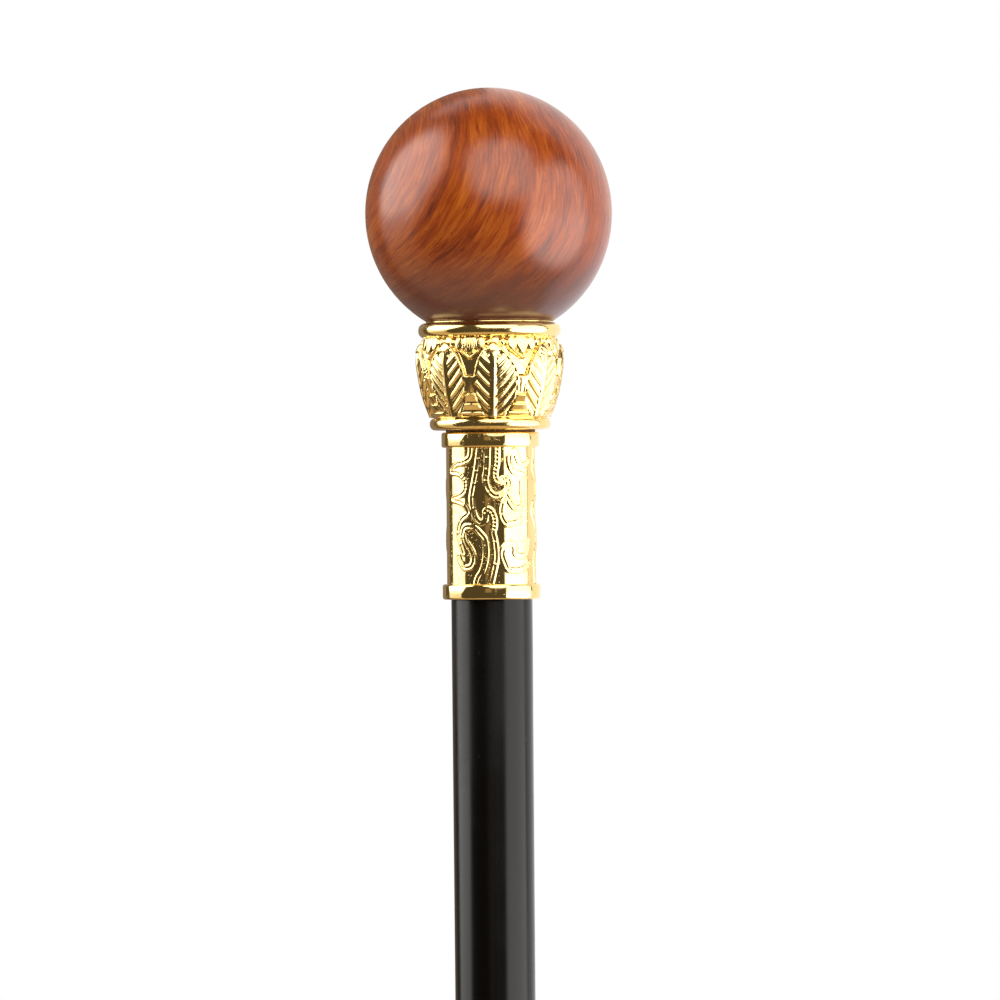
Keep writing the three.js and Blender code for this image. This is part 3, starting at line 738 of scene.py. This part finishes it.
def hanging_bud(gap, up):
    """Rise of the bud that hangs in a gap: a fluted fan between lobes, over a pair of slanting lobes."""
    flute = 0.28 + 0.12 * np.maximum(up - FAN[0] + FAN[2], 0)
    fan = np.minimum(1.6 * lump(gap, up, FAN), 1) * (0.85 + 0.06 * np.cos(2 * math.pi * gap / flute))
    petal = 0.95 * np.minimum(1.3 * lump(gap - 2.35, up, SIDE_PETAL), 1)
    along = 0.751 * (gap - 0.15) + 0.659 * (up - 13.2)
    slant = 0.75 * ridge(0.659 * (gap - 0.15) - 0.751 * (up - 13.2), 0.45)
    slant *= smooth(-0.3, 0.2, along) * (1 - smooth(2.3, 2.9, along))
    return np.maximum.reduce([fan, petal, slant, 0.8 * lump(gap - 4.3, up, SIDE_LOBE)])


def leaf_relief(turn, height, collar):
    """Radius of the cup in metres at a turn and at a height above its foot."""
    up = height / MM
    ground = np.polyval(np.polyfit(*CUP_OUTLINE, 3), height / collar.cup_height) - CUP_GROUND
    pitch = 2 * math.pi / collar.leaf_count
    place = (turn - collar.leaf_turn) / pitch + 0.5
    nearest = (place - np.floor(place) - 0.5) * pitch
    gap = (pitch / 2 - np.abs(nearest)) * ground
    shift = np.take(RIB_SHIFTS, np.floor(place).astype(int) % len(RIB_SHIFTS))
    across = nearest * ground - shift
    blade = leaf(across, up, height / collar.leaf_height, shift, collar.vein_pitch / MM)
    return (ground + np.maximum.reduce([blade, vase(gap, up), hanging_bud(gap, up)])) * MM


# Middle lines of the sleeve's scrolls: places round it in hundredths of a half turn from the front, and
# up it in hundredths of the bare height between the bands. They repeat on the back.
SCROLLS = (
    ((-7, 105), (-10, 84), (-13, 69), (-14, 62), (-13, 54), (-11, 48), (-8, 45), (-5, 46), (-4, 49),
     (-4, 53), (-2, 54.5), (0, 53), (2, 48), (2, 42), (1, 38), (2, 33), (3, 25), (3, 18), (1, 8),
     (-2, -5)),
    ((-2, 105), (-3, 84), (-4, 77), (-3, 71), (0, 66), (4, 64), (9, 66), (12, 69), (13.5, 74), (11.5, 77),
     (9, 76)),
    ((4.5, 105), (4, 89), (3, 83), (3, 77.5), (5.5, 74.5), (8.5, 76.5)),
    ((-14, 105), (-15, 93), (-21, 89), (-27, 88), (-34, 84)),
    ((-34, 82), (-25, 81), (-20, 77), (-19, 73), (-20, 68), (-24, 65), (-32, 63)),
    ((-32, 62), (-23, 60), (-19, 57), (-17, 52), (-22, 48), (-25, 44), (-26, 40), (-26, 36), (-24, 31),
     (-21, 23)),
    ((-22, 36), (-21, 40), (-18, 42), (-12, 41), (-8, 37), (-5, 33), (-4, 27), (-4, 21), (-5, 15),
     (-7, 9), (-10, 4), (-12, -5)),
    ((-20, 36), (-18.5, 31), (-15, 26), (-13, 21), (-13, 17), (-15, 13), (-20, 12), (-23, 15), (-25, 18),
     (-26, 21)),
    ((10, 63), (8, 59), (7, 53), (8, 48), (11, 44), (16, 44), (20, 45), (23, 47)),
    ((11, 65), (14, 60), (17, 56), (20, 55), (24, 57), (25, 61), (24, 67), (24, 74), (25, 79), (22, 80),
     (19, 81), (16, 83), (14, 88), (14, 93), (17, 97), (19, 95), (21, 90), (23, 87), (27, 87), (32, 90)),
    ((31, 15), (27, 12), (21, 10), (16, 10), (12, 11), (10, 15), (8, 21), (9, 26), (12, 29), (16, 29),
     (18, 26), (18, 22), (22, 20), (26, 21), (29, 25), (30, 32)),
    ((41, 105), (40, 93), (38, 86), (42, 79), (45, 74), (44, 64), (38, 58), (37, 52), (42, 44), (46, 36),
     (46, 28), (41, 22), (40, 14), (43, -5)),
)
SCROLL_PANELS = 2
# Stretches of a scroll that have rungs: start, end and spacing in millimetres. The others have wide ones.
RUNGS = {
    0: ((0, 18, 2.8), (21.5, 28.5, 0.8), (28.5, 42, 5.0)),
    2: ((0, 10, 0.9),),
    3: ((5, 9, 0.9),),
    4: ((3, 8, 0.8),),
    6: (),
    7: (),
    10: ((0, 7, 1.0), (20, 26, 0.9)),
}
WIDE_RUNGS = ((0, 60, 2.6),)
# More than any reach of a scroll in millimetres
FAR = 9.0


def scroll_points(line, width, height):
    """Points close together along a smooth curve through a scroll's places, in millimetres."""
    knots = np.array(line) * (width / 100, height / 100)
    knots = np.vstack([2 * knots[0] - knots[1], knots, 2 * knots[-1] - knots[-2]])
    before, start, end, after = (knots[i:len(knots) - 3 + i, None] for i in range(4))
    t = np.arange(0, 1, 0.125)[:, None]
    curve = 2 * start + (end - before) * t + (2 * before - 5 * start + 4 * end - after) * t**2
    curve += (3 * start - before - 3 * end + after) * t**3
    return np.vstack([0.5 * curve.reshape(-1, 2), knots[-2]])


def scroll_relief(turn, height, sleeve, bare_height):
    """Radius of the sleeve in metres at a turn and at a height above the lower band."""
    panel = 2 * math.pi / SCROLL_PANELS
    flat = (turn + panel / 2) % panel - panel / 2
    tube = sleeve.radius / MM
    width = panel * tube
    across, up = flat * tube, height / MM
    nearest = np.full(len(turn), FAR)
    passed = np.zeros(len(turn))
    scroll = np.zeros(len(turn), int)
    for number, line in enumerate(SCROLLS):
        points = scroll_points(line, width, bare_height / MM)
        steps = points[1:] - points[:-1]
        lengths = np.hypot(*steps.T)
        travelled = np.concatenate([[0], np.cumsum(lengths)])
        close = (up > points[:, 1].min() - 1) & (up < points[:, 1].max() + 1)
        for shift in (-width, 0, width):
            moved = across + shift
            chosen = close & (moved > points[:, 0].min() - 1) & (moved < points[:, 0].max() + 1)
            if not chosen.any():
                continue
            where = np.stack([moved[chosen], up[chosen]], 1)
            best, along, owner = nearest[chosen], passed[chosen], scroll[chosen]
            for start, step, size, gone in zip(points, steps, lengths, travelled):
                share = np.clip(((where - start) @ step) / size**2, 0, 1)
                distance = np.hypot(*(where - start - share[:, None] * step).T)
                closer = distance < best
                best[closer] = distance[closer]
                along[closer] = (gone + share * size)[closer]
                owner[closer] = number
            nearest[chosen], passed[chosen], scroll[chosen] = best, along, owner
    half = sleeve.scroll_width / MM / 2
    rise = sleeve.scroll_rise / MM
    relief = 0.3 * rise * (1 - smooth(half - 0.22, half + 0.1, nearest))
    relief += 0.52 * rise * ridge(nearest - (half - 0.25), 0.3) ** 1.2
    inside = 1 - smooth(half - 0.45, half - 0.25, nearest)
    for number in range(len(SCROLLS)):
        for start, end, spacing in RUNGS.get(number, WIDE_RUNGS):
            here = (scroll == number) & (passed > start) & (passed < end)
            offset = (((passed[here] - start) / spacing) % 1 - 0.5) * spacing
            relief[here] += 0.4 * rise * inside[here] * ridge(offset, min(0.26, 0.3 * spacing))
    return sleeve.radius + relief * MM


# Operators


# Light of the room from its floor, share 0, to its top, share 1
ROOM_LIGHT = (
    (0.22, (0.66, 0.49, 0.30)), (0.40, (0.66, 0.50, 0.30)), (0.455, (1.18, 1.13, 1.1)),
    (0.80, (1.15, 1.12, 1.08)), (0.88, (0.12, 0.1, 0.08)),
)
# Half width in degrees of the soft edges of the dim parts
WALL_BLUR = 3.0
# Dim parts of the studio: limits of turn and rise in degrees, and their light
DIM_WALLS = (
    (-78, 110, -42, 64, (0.088, 0.074, 0.05)),
    (-190, -138, -60, 45, (0.28, 0.23, 0.18)),
    (-139, -119, -90, 66, (0.12, 0.09, 0.05)),
    (-15, -1, -1.5, 9, (0.34, 0.25, 0.16)),
    (8.5, 10.5, -1.5, 9, (0.6, 0.5, 0.36)),
    (103, 178, -50, 0, (1.15, 1.12, 1.15)),
)
# Soft boxes: turn, rise and roll of their aim in degrees, half width and half height as tangents,
# roundness, share of their light that their foot gives, and light
SOFT_BOXES = (
    (-90.5, 24.5, -27, 0.52, 0.70, 2.8, 0.3, (3.7, 3.7, 3.6)),
    (14.7, 39, 0, 0.56, 0.54, 3.0, 1.0, (3.0, 2.9, 2.7)),
    (70, -2, 0, 0.70, 0.78, 3.0, 1.45, (2.8, 2.75, 2.65)),
)
# Share of the light that matt surfaces get, from the left and from the right
MATT_SHARES = (0.58, 0.88)


class PieceOperator(bpy.types.Operator):
    """Builds a piece of the stick."""

    bl_options = {"REGISTER", "UNDO"}


class BuildStudio(PieceOperator):
    """Sets up the camera, the pale floor and the soft light."""

    bl_idname = "stick.studio"
    bl_label = "Studio"

    def execute(self, context):
        studio = context.scene.stick_studio
        camera = bpy.data.cameras.new("camera")
        camera.lens = studio.lens
        camera.sensor_width = 36
        camera.clip_end = 100
        seen_from = bpy.data.objects.new("camera", camera)
        stand = Matrix.Translation((studio.aim_aside, -studio.distance, studio.aim_height))
        level = Matrix.Rotation(math.pi / 2, 4, "X") @ Matrix.Rotation(-studio.roll, 4, "Z")
        seen_from.matrix_world = stand @ level
        context.scene.collection.objects.link(seen_from)
        context.scene.camera = seen_from
        context.scene.view_settings.view_transform = "Standard"
        self.lay_floor(context, studio)
        self.light_world(context)
        return {"FINISHED"}

    def lay_floor(self, context, studio):
        """A pale disc, white to the camera where no shadow lies on it."""
        bm = bmesh.new()
        bmesh.ops.create_circle(bm, cap_ends=True, segments=96, radius=9)
        mesh = bpy.data.meshes.new("floor")
        bm.to_mesh(mesh)
        bm.free()
        floor = bpy.data.objects.new("floor", mesh)
        context.scene.collection.objects.link(floor)
        floor.visible_glossy = False
        material, tree, surface, where = shader(
            "floor", {"Base Color": tuple(studio.floor), "Roughness": 1.0, "Specular IOR Level": 0.0}
        )
        mottle = noise(tree, where, 3.0, detail=3.0)
        darker = [0.985 * value for value in studio.floor]
        tree.links.new(mixed(tree, mottle, studio.floor, darker), surface.inputs["Base Color"])
        seen = tree.nodes.new("ShaderNodeLightPath").outputs["Is Camera Ray"]
        surface.inputs["Emission Color"].default_value = (1, 1, 1, 1)
        tree.links.new(sums(tree, "MULTIPLY", seen, 0.1), surface.inputs["Emission Strength"])
        mesh.materials.append(material)

    def light_world(self, context):
        """White to the camera, and a studio with three soft boxes for everything else."""
        world = bpy.data.worlds.new("studio")
        context.scene.world = world
        world.use_nodes = True
        tree = world.node_tree
        tree.nodes.clear()
        direction = tree.nodes.new("ShaderNodeTexCoord").outputs["Generated"]
        x, y, z = split(tree, direction)
        turn = sums(tree, "DEGREES", sums(tree, "ARCTAN2", x, sums(tree, "MULTIPLY", y, -1.0)))
        rise = sums(tree, "DEGREES", sums(tree, "ARCSINE", z))
        light = ramp(tree, ranged(tree, rise, -90, 90, smooth=False), ROOM_LIGHT)
        for left, right, bottom, top, shade in DIM_WALLS:
            wide = self.between(tree, turn, left, right)
            high = self.between(tree, rise, bottom, top)
            light = mixed(tree, sums(tree, "MULTIPLY", wide, high), light, shade)
        for *shape, foot, level in SOFT_BOXES:
            fade = ranged(tree, rise, -5, 4, foot, 1.0)
            lit = node(tree, "ShaderNodeVectorMath", {0: level, "Scale": fade}, operation="SCALE")
            light = mixed(tree, self.soft_box(tree, direction, *shape), light, lit.outputs[0])
        path = tree.nodes.new("ShaderNodeLightPath").outputs
        seen = sums(tree, "MAXIMUM", path["Is Camera Ray"], path["Is Transmission Ray"])
        shiny = sums(tree, "MAXIMUM", path["Is Glossy Ray"], seen)
        background = node(
            tree, "ShaderNodeBackground",
            {
                "Color": mixed(tree, seen, light, (1, 1, 1)),
                "Strength": sums(tree, "MAXIMUM", shiny, ranged(tree, x, -0.1, 0.9, *MATT_SHARES)),
            },
        )
        output = tree.nodes.new("ShaderNodeOutputWorld")
        tree.links.new(background.outputs[0], output.inputs["Surface"])

    def between(self, tree, angle, *limits):
        """1 between two limits and 0 outside them, with soft edges."""
        past = (ranged(tree, angle, limit - WALL_BLUR, limit + WALL_BLUR) for limit in limits)
        return sums(tree, "SUBTRACT", *past)

    def soft_box(self, tree, direction, turn, rise, roll, half_width, half_height, corner):
        """Mask of a soft box seen from the stick: aim in degrees, half sizes as tangents, roundness."""
        aim = Matrix.Rotation(math.radians(turn), 3, "Z") @ Matrix.Rotation(-math.radians(rise), 3, "X")
        aim @= Matrix.Rotation(-math.radians(roll), 3, "Y")
        ahead, aside, above = (
            node(
                tree, "ShaderNodeVectorMath", {0: direction, 1: aim @ Vector(axis)}, operation="DOT_PRODUCT"
            ).outputs["Value"]
            for axis in ((0, -1, 0), (1 / half_width, 0, 0), (0, 0, 1 / half_height))
        )
        near = sums(tree, "MAXIMUM", ahead, 0.02)
        parts = [
            sums(tree, "POWER", sums(tree, "ABSOLUTE", sums(tree, "DIVIDE", side, near)), corner)
            for side in (aside, above)
        ]
        reach = sums(tree, "POWER", sums(tree, "ADD", *parts), 1 / corner)
        return ranged(tree, reach, 1.08, 0.9)


class BuildKnob(PieceOperator):
    """Turns the wooden ball with its seat, spigot and bore."""

    bl_idname = "stick.knob"
    bl_label = "Wooden knob"

    def execute(self, context):
        knob = context.scene.stick_knob
        middle = KNOB_HIGH.z - knob.half_height
        seat = KNOB_LOW.z + knob.spigot_height
        bm = bmesh.new()
        bmesh.ops.create_uvsphere(bm, u_segments=KNOB_STEPS, v_segments=KNOB_RINGS, radius=1)
        bmesh.ops.scale(bm, vec=(knob.radius, knob.radius, knob.half_height), verts=bm.verts[:])
        bmesh.ops.translate(bm, vec=(0, 0, middle), verts=bm.verts[:])
        bmesh.ops.bisect_plane(
            bm, geom=bm.verts[:] + bm.edges[:] + bm.faces[:], plane_co=(0, 0, seat), plane_no=(0, 0, -1),
            clear_outer=True,
        )
        ring = [edge for edge in bm.edges if edge.is_boundary]
        for radius, height in (
            (knob.spigot_radius, seat),
            (knob.spigot_radius, KNOB_LOW.z),
            (knob.bore_radius, KNOB_LOW.z),
            (knob.bore_radius, seat + knob.bore_height),
        ):
            ring = step_ring(bm, ring, radius, height)
        bmesh.ops.edgeloop_fill(bm, edges=ring)
        bmesh.ops.recalc_face_normals(bm, faces=bm.faces[:])
        finished("knob", bm, finish(context, "polished_wood"), "handle", "knob_ball")
        return {"FINISHED"}


class BuildCollar(PieceOperator):
    """Turns the cast collar and carves its leaves."""

    bl_idname = "stick.collar"
    bl_label = "Leaf collar"

    def execute(self, context):
        collar = context.scene.stick_collar
        foot = COLLAR_LOW.z / MM
        low, high = collar.lower_bead_height / MM, collar.upper_bead_height / MM
        cup = low + collar.cup_height / MM
        top = (COLLAR_HIGH.z - COLLAR_LOW.z) / MM
        lower, upper = collar.lower_bead_radius / MM, collar.upper_bead_radius / MM
        hole, socket, well, mouth = 4.25, 11.15, 10.4, 8.7
        mouth_top, web_low, web_high = 3.7, 14.5, 18.5
        outline = (
            (hole, web_low, 0), (well, web_low, 0), (well, mouth_top, 0), (mouth, mouth_top, 0),
            (mouth, 0, 0.2), (lower, 0, 0.46 * low), (lower, low, 0.42 * low),
            (CUP_OUTLINE[1][0] - CUP_GROUND, low, 0), (CUP_OUTLINE[1][-1] - CUP_GROUND, cup, 0),
            (upper, cup, 0.46 * high), (upper, cup + high, 0.46 * high), (upper - high / 2, cup + high, 0),
            (upper - high / 2, top, 0.1), (socket, top, 0.2), (socket, web_high, 0), (hole, web_high, 0),
        )
        bm = bmesh.new()
        corners = [(r * MM, (foot + z) * MM, q * MM) for r, z, q in outline]
        verts = lay_outline(bm, corners, closed=True, segments=6)
        divide_wall(bm, *verts[7:9], COLLAR_CUTS)
        turn_round(bm, COLLAR_STEPS)
        material = finish(context, "cast_gilt")
        piece = finished("collar", bm, material, "handle", "leaf_collar", sharp=0)
        cup_foot = COLLAR_LOW.z + collar.lower_bead_height
        carve(
            piece, cup_foot + 0.01 * MM, cup_foot + collar.cup_height - 0.01 * MM, 12 * MM,
            lambda turn, height: leaf_relief(turn, height - cup_foot, collar),
        )
        return {"FINISHED"}


class BuildSleeve(PieceOperator):
    """Turns the thin sleeve and raises its scrolls."""

    bl_idname = "stick.sleeve"
    bl_label = "Scrolled sleeve"

    def execute(self, context):
        sleeve = context.scene.stick_sleeve
        foot, top = BOTTOM_BAND_HIGH.z, TOP_BAND_LOW.z
        bm = bmesh.new()
        outer = [(sleeve.radius, height, 0) for height in (SLEEVE_LOW.z, foot, top, SLEEVE_HIGH.z)]
        outline = [(sleeve.bore, SLEEVE_LOW.z, 0), *outer, (sleeve.bore, SLEEVE_HIGH.z, 0)]
        verts = lay_outline(bm, outline, closed=True)
        divide_wall(bm, *verts[2:4], SLEEVE_CUTS)
        turn_round(bm, SLEEVE_STEPS)
        material = finish(context, "stippled_gilt")
        piece = finished("sleeve", bm, material, "shaft", "scroll_sleeve", sharp=0)
        carve(
            piece, foot + 0.1 * MM, top - 0.1 * MM, 9.6 * MM,
            lambda turn, height: scroll_relief(turn, height - foot, sleeve, top - foot),
        )
        return {"FINISHED"}


class BuildBands(PieceOperator):
    """Turns the two bands that hold the sleeve."""

    bl_idname = "stick.bands"
    bl_label = "Bands"

    def execute(self, context):
        sleeve = context.scene.stick_sleeve
        wall, outer = sleeve.band_wall / MM, sleeve.band_radius / MM
        for name, node_name, low, high, mouth, flange_up in (
            ("band_top", "sleeve_top_band", TOP_BAND_LOW.z, TOP_BAND_HIGH.z, sleeve.band_mouth, True),
            (
                "band_bottom", "sleeve_bottom_band", BOTTOM_BAND_LOW.z, BOTTOM_BAND_HIGH.z, sleeve.bore,
                False,
            ),
        ):
            closed_end, open_end = (high / MM, low / MM) if flange_up else (low / MM, high / MM)
            inner_end = closed_end + math.copysign(sleeve.band_flange / MM, open_end - closed_end)
            corners = (
                (wall, open_end, 0.08), (outer, open_end, 0.5), (outer, closed_end, 0.5),
                (mouth / MM, closed_end, 0.2), (mouth / MM, inner_end, 0), (wall, inner_end, 0),
            )
            bm = turned(corners, BAND_STEPS, closed=True, segments=3)
            finished(name, bm, finish(context, "gilt"), "shaft", node_name, sharp=40)
        return {"FINISHED"}


class BuildShaft(PieceOperator):
    """Turns the tapered shaft with the bore for its bush."""

    bl_idname = "stick.shaft"
    bl_label = "Shaft"

    def execute(self, context):
        shaft = context.scene.stick_shaft
        end, top = shaft.end_radius / MM, shaft.top_radius / MM
        foot, head = SHAFT_LOW.z / MM, SHAFT_HIGH.z / MM
        bore, deep = shaft.bore_radius / MM, shaft.bore_depth / MM
        corners = (
            (0, foot, 0), (end, foot, 0.5), (top, head, 0.2), (bore, head, 0.2), (bore, head - deep, 0),
            (0, head - deep, 0),
        )
        bm = turned(corners, SHAFT_STEPS)
        finished("shaft_body", bm, finish(context, "black_lacquer"), "shaft", "shaft")
        return {"FINISHED"}


class BuildTip(PieceOperator):
    """Turns the flared rubber tip with its ribs and treads."""

    bl_idname = "stick.tip"
    bl_label = "Rubber tip"

    def execute(self, context):
        tip, shaft = context.scene.stick_tip, context.scene.stick_shaft
        foot, neck, lip = (value / MM for value in (tip.foot_radius, tip.neck_radius, tip.lip_radius))
        flare_low, flare_high = tip.foot_height / MM, tip.neck_height / MM
        top, floor = TIP_HIGH.z / MM, tip.floor / MM
        neck_top = top - tip.lip_height / MM
        corners = [(0, 0, 0)]
        core, rim, clearance = 3.0, 1.6, 0.15
        tread_width, tread_depth = 2.1, 1.3
        rib_half, rib_depth = 0.8, 0.6
        pitch = (foot - rim - core) / max(tip.tread_count, 1)
        for i in range(tip.tread_count):
            start = core + i * pitch
            end = start + tread_width
            corners += [(start, 0, 0.25), (start, tread_depth, 0.2)]
            corners += [(end, tread_depth, 0.2), (end, 0, 0.25)]
        corners += [(foot, 0, rim), (foot, flare_low, 0.8)]
        for step in range(1, FLARE_STEPS + 1):
            angle = step / FLARE_STEPS * math.pi / 2
            radius = foot - (foot - neck) * math.sin(angle)
            corners.append((radius, flare_high - (flare_high - flare_low) * math.cos(angle), 0))
        groove = (neck_top - flare_high) / (tip.rib_count + 1)
        for i in range(1, tip.rib_count + 1):
            for shift, depth in ((-rib_half, 0), (0, rib_depth), (rib_half, 0)):
                corners.append((neck - depth, flare_high + i * groove + shift, 0.25))
        corners += [(neck, neck_top, 0.2), (lip, neck_top + 1, 0.5), (lip, top, 1.0)]
        taper = (shaft.top_radius - shaft.end_radius) / (SHAFT_HIGH.z - SHAFT_LOW.z)
        mouth = shaft.end_radius / MM + (top - SHAFT_LOW.z / MM) * taper + clearance
        corners += [(mouth, top, 0.3), (shaft.end_radius / MM + clearance, floor, 0), (0, floor, 0)]
        bm = turned(corners, TIP_STEPS, segments=4)
        finished("tip_body", bm, finish(context, "worn_rubber"), "tip", "rubber_tip")
        return {"FINISHED"}


class BuildStud(PieceOperator):
    """Winds the stud's screw thread and caps its ends."""

    bl_idname = "stick.stud"
    bl_label = "Threaded stud"

    def execute(self, context):
        metal = context.scene.stick_metal
        pitch, depth = metal.thread_pitch, metal.thread_depth
        crest = STUD_HIGH.x
        root = crest - depth
        chamfer, chamfer_width = 0.5 * MM, 0.55 * MM
        low, high = STUD_LOW.z + chamfer, STUD_HIGH.z - chamfer
        turns = math.ceil((high - low) / pitch) + 2
        bm = bmesh.new()
        profile = ((root, 1), (crest, 0.58), (crest, 0.45), (root, 0.06), (root, 0))
        lay_outline(bm, [(radius, low - share * pitch, 0) for radius, share in profile])
        spin(bm, 2 * math.pi, THREAD_STEPS, rise=pitch / THREAD_STEPS)
        repeat(bm, turns, rise=pitch)
        bmesh.ops.remove_doubles(bm, verts=bm.verts[:], dist=5 * MERGE)
        for height, direction in ((low, -1), (high, 1)):
            bmesh.ops.bisect_plane(
                bm, geom=bm.verts[:] + bm.edges[:] + bm.faces[:], plane_co=(0, 0, height),
                plane_no=(0, 0, direction), clear_outer=True,
            )
            open_edges = [edge for edge in bm.edges if edge.is_boundary]
            rim = [edge for edge in open_edges if abs(edge.verts[0].co.z - height) < ROUNDING_ERROR]
            face = bmesh.ops.edgeloop_fill(bm, edges=rim)["faces"]
            bmesh.ops.recalc_face_normals(bm, faces=bm.faces[:])
            bmesh.ops.inset_region(
                bm, faces=face, thickness=chamfer_width, depth=chamfer, use_even_offset=False,
            )
        bmesh.ops.dissolve_degenerate(bm, edges=bm.edges[:], dist=MERGE / 2)
        bmesh.ops.recalc_face_normals(bm, faces=bm.faces[:])
        finished("stud", bm, finish(context, "zinc_coat"), "handle", "knob_stud", sharp=25)
        return {"FINISHED"}


class FinishFittings(PieceOperator):
    """Gives the inner fittings of the frame their brass, zinc and fibre."""

    bl_idname = "stick.fittings"
    bl_label = "Inner fittings"

    def execute(self, context):
        for name, nodes in (
            ("turned_brass", ("knob_insert", "shaft_bush")),
            ("zinc_coat", ("stud_washer", "spring_washer", "stud_nut", "tip_washer")),
            ("pressed_fibre", ("joint_washer",)),
        ):
            for part in nodes:
                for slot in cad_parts[part].material_slots:
                    slot.material = finish(context, name)
        return {"FINISHED"}


BUILD_ORDER = (
    BuildStudio, BuildKnob, BuildCollar, BuildSleeve, BuildBands, BuildShaft, BuildTip, BuildStud,
    FinishFittings,
)


class StickPanel(bpy.types.Panel):
    """Lists the pieces of the stick and their settings."""

    bl_idname = "VIEW3D_PT_stick"
    bl_label = "Walking Stick"
    bl_space_type = "VIEW_3D"
    bl_region_type = "UI"
    bl_category = "Stick"

    def draw(self, context):
        for operator in BUILD_ORDER:
            self.layout.operator(operator.bl_idname)
        for key, group in SETTINGS.items():
            box = self.layout.box()
            box.label(text=group.__name__.removesuffix("Settings"))
            for name in group.__annotations__:
                box.prop(getattr(context.scene, key), name)


CLASSES = (*SETTINGS.values(), *BUILD_ORDER, StickPanel)


def register():
    for item in CLASSES:
        bpy.utils.register_class(item)
    for key, group in SETTINGS.items():
        setattr(bpy.types.Scene, key, PointerProperty(type=group))


def unregister():
    for key in SETTINGS:
        delattr(bpy.types.Scene, key)
    for item in reversed(CLASSES):
        bpy.utils.unregister_class(item)


def main():
    register()
    for operator in BUILD_ORDER:
        family, name = operator.bl_idname.split(".")
        getattr(getattr(bpy.ops, family), name)()


if __name__ == "__main__":
    main()
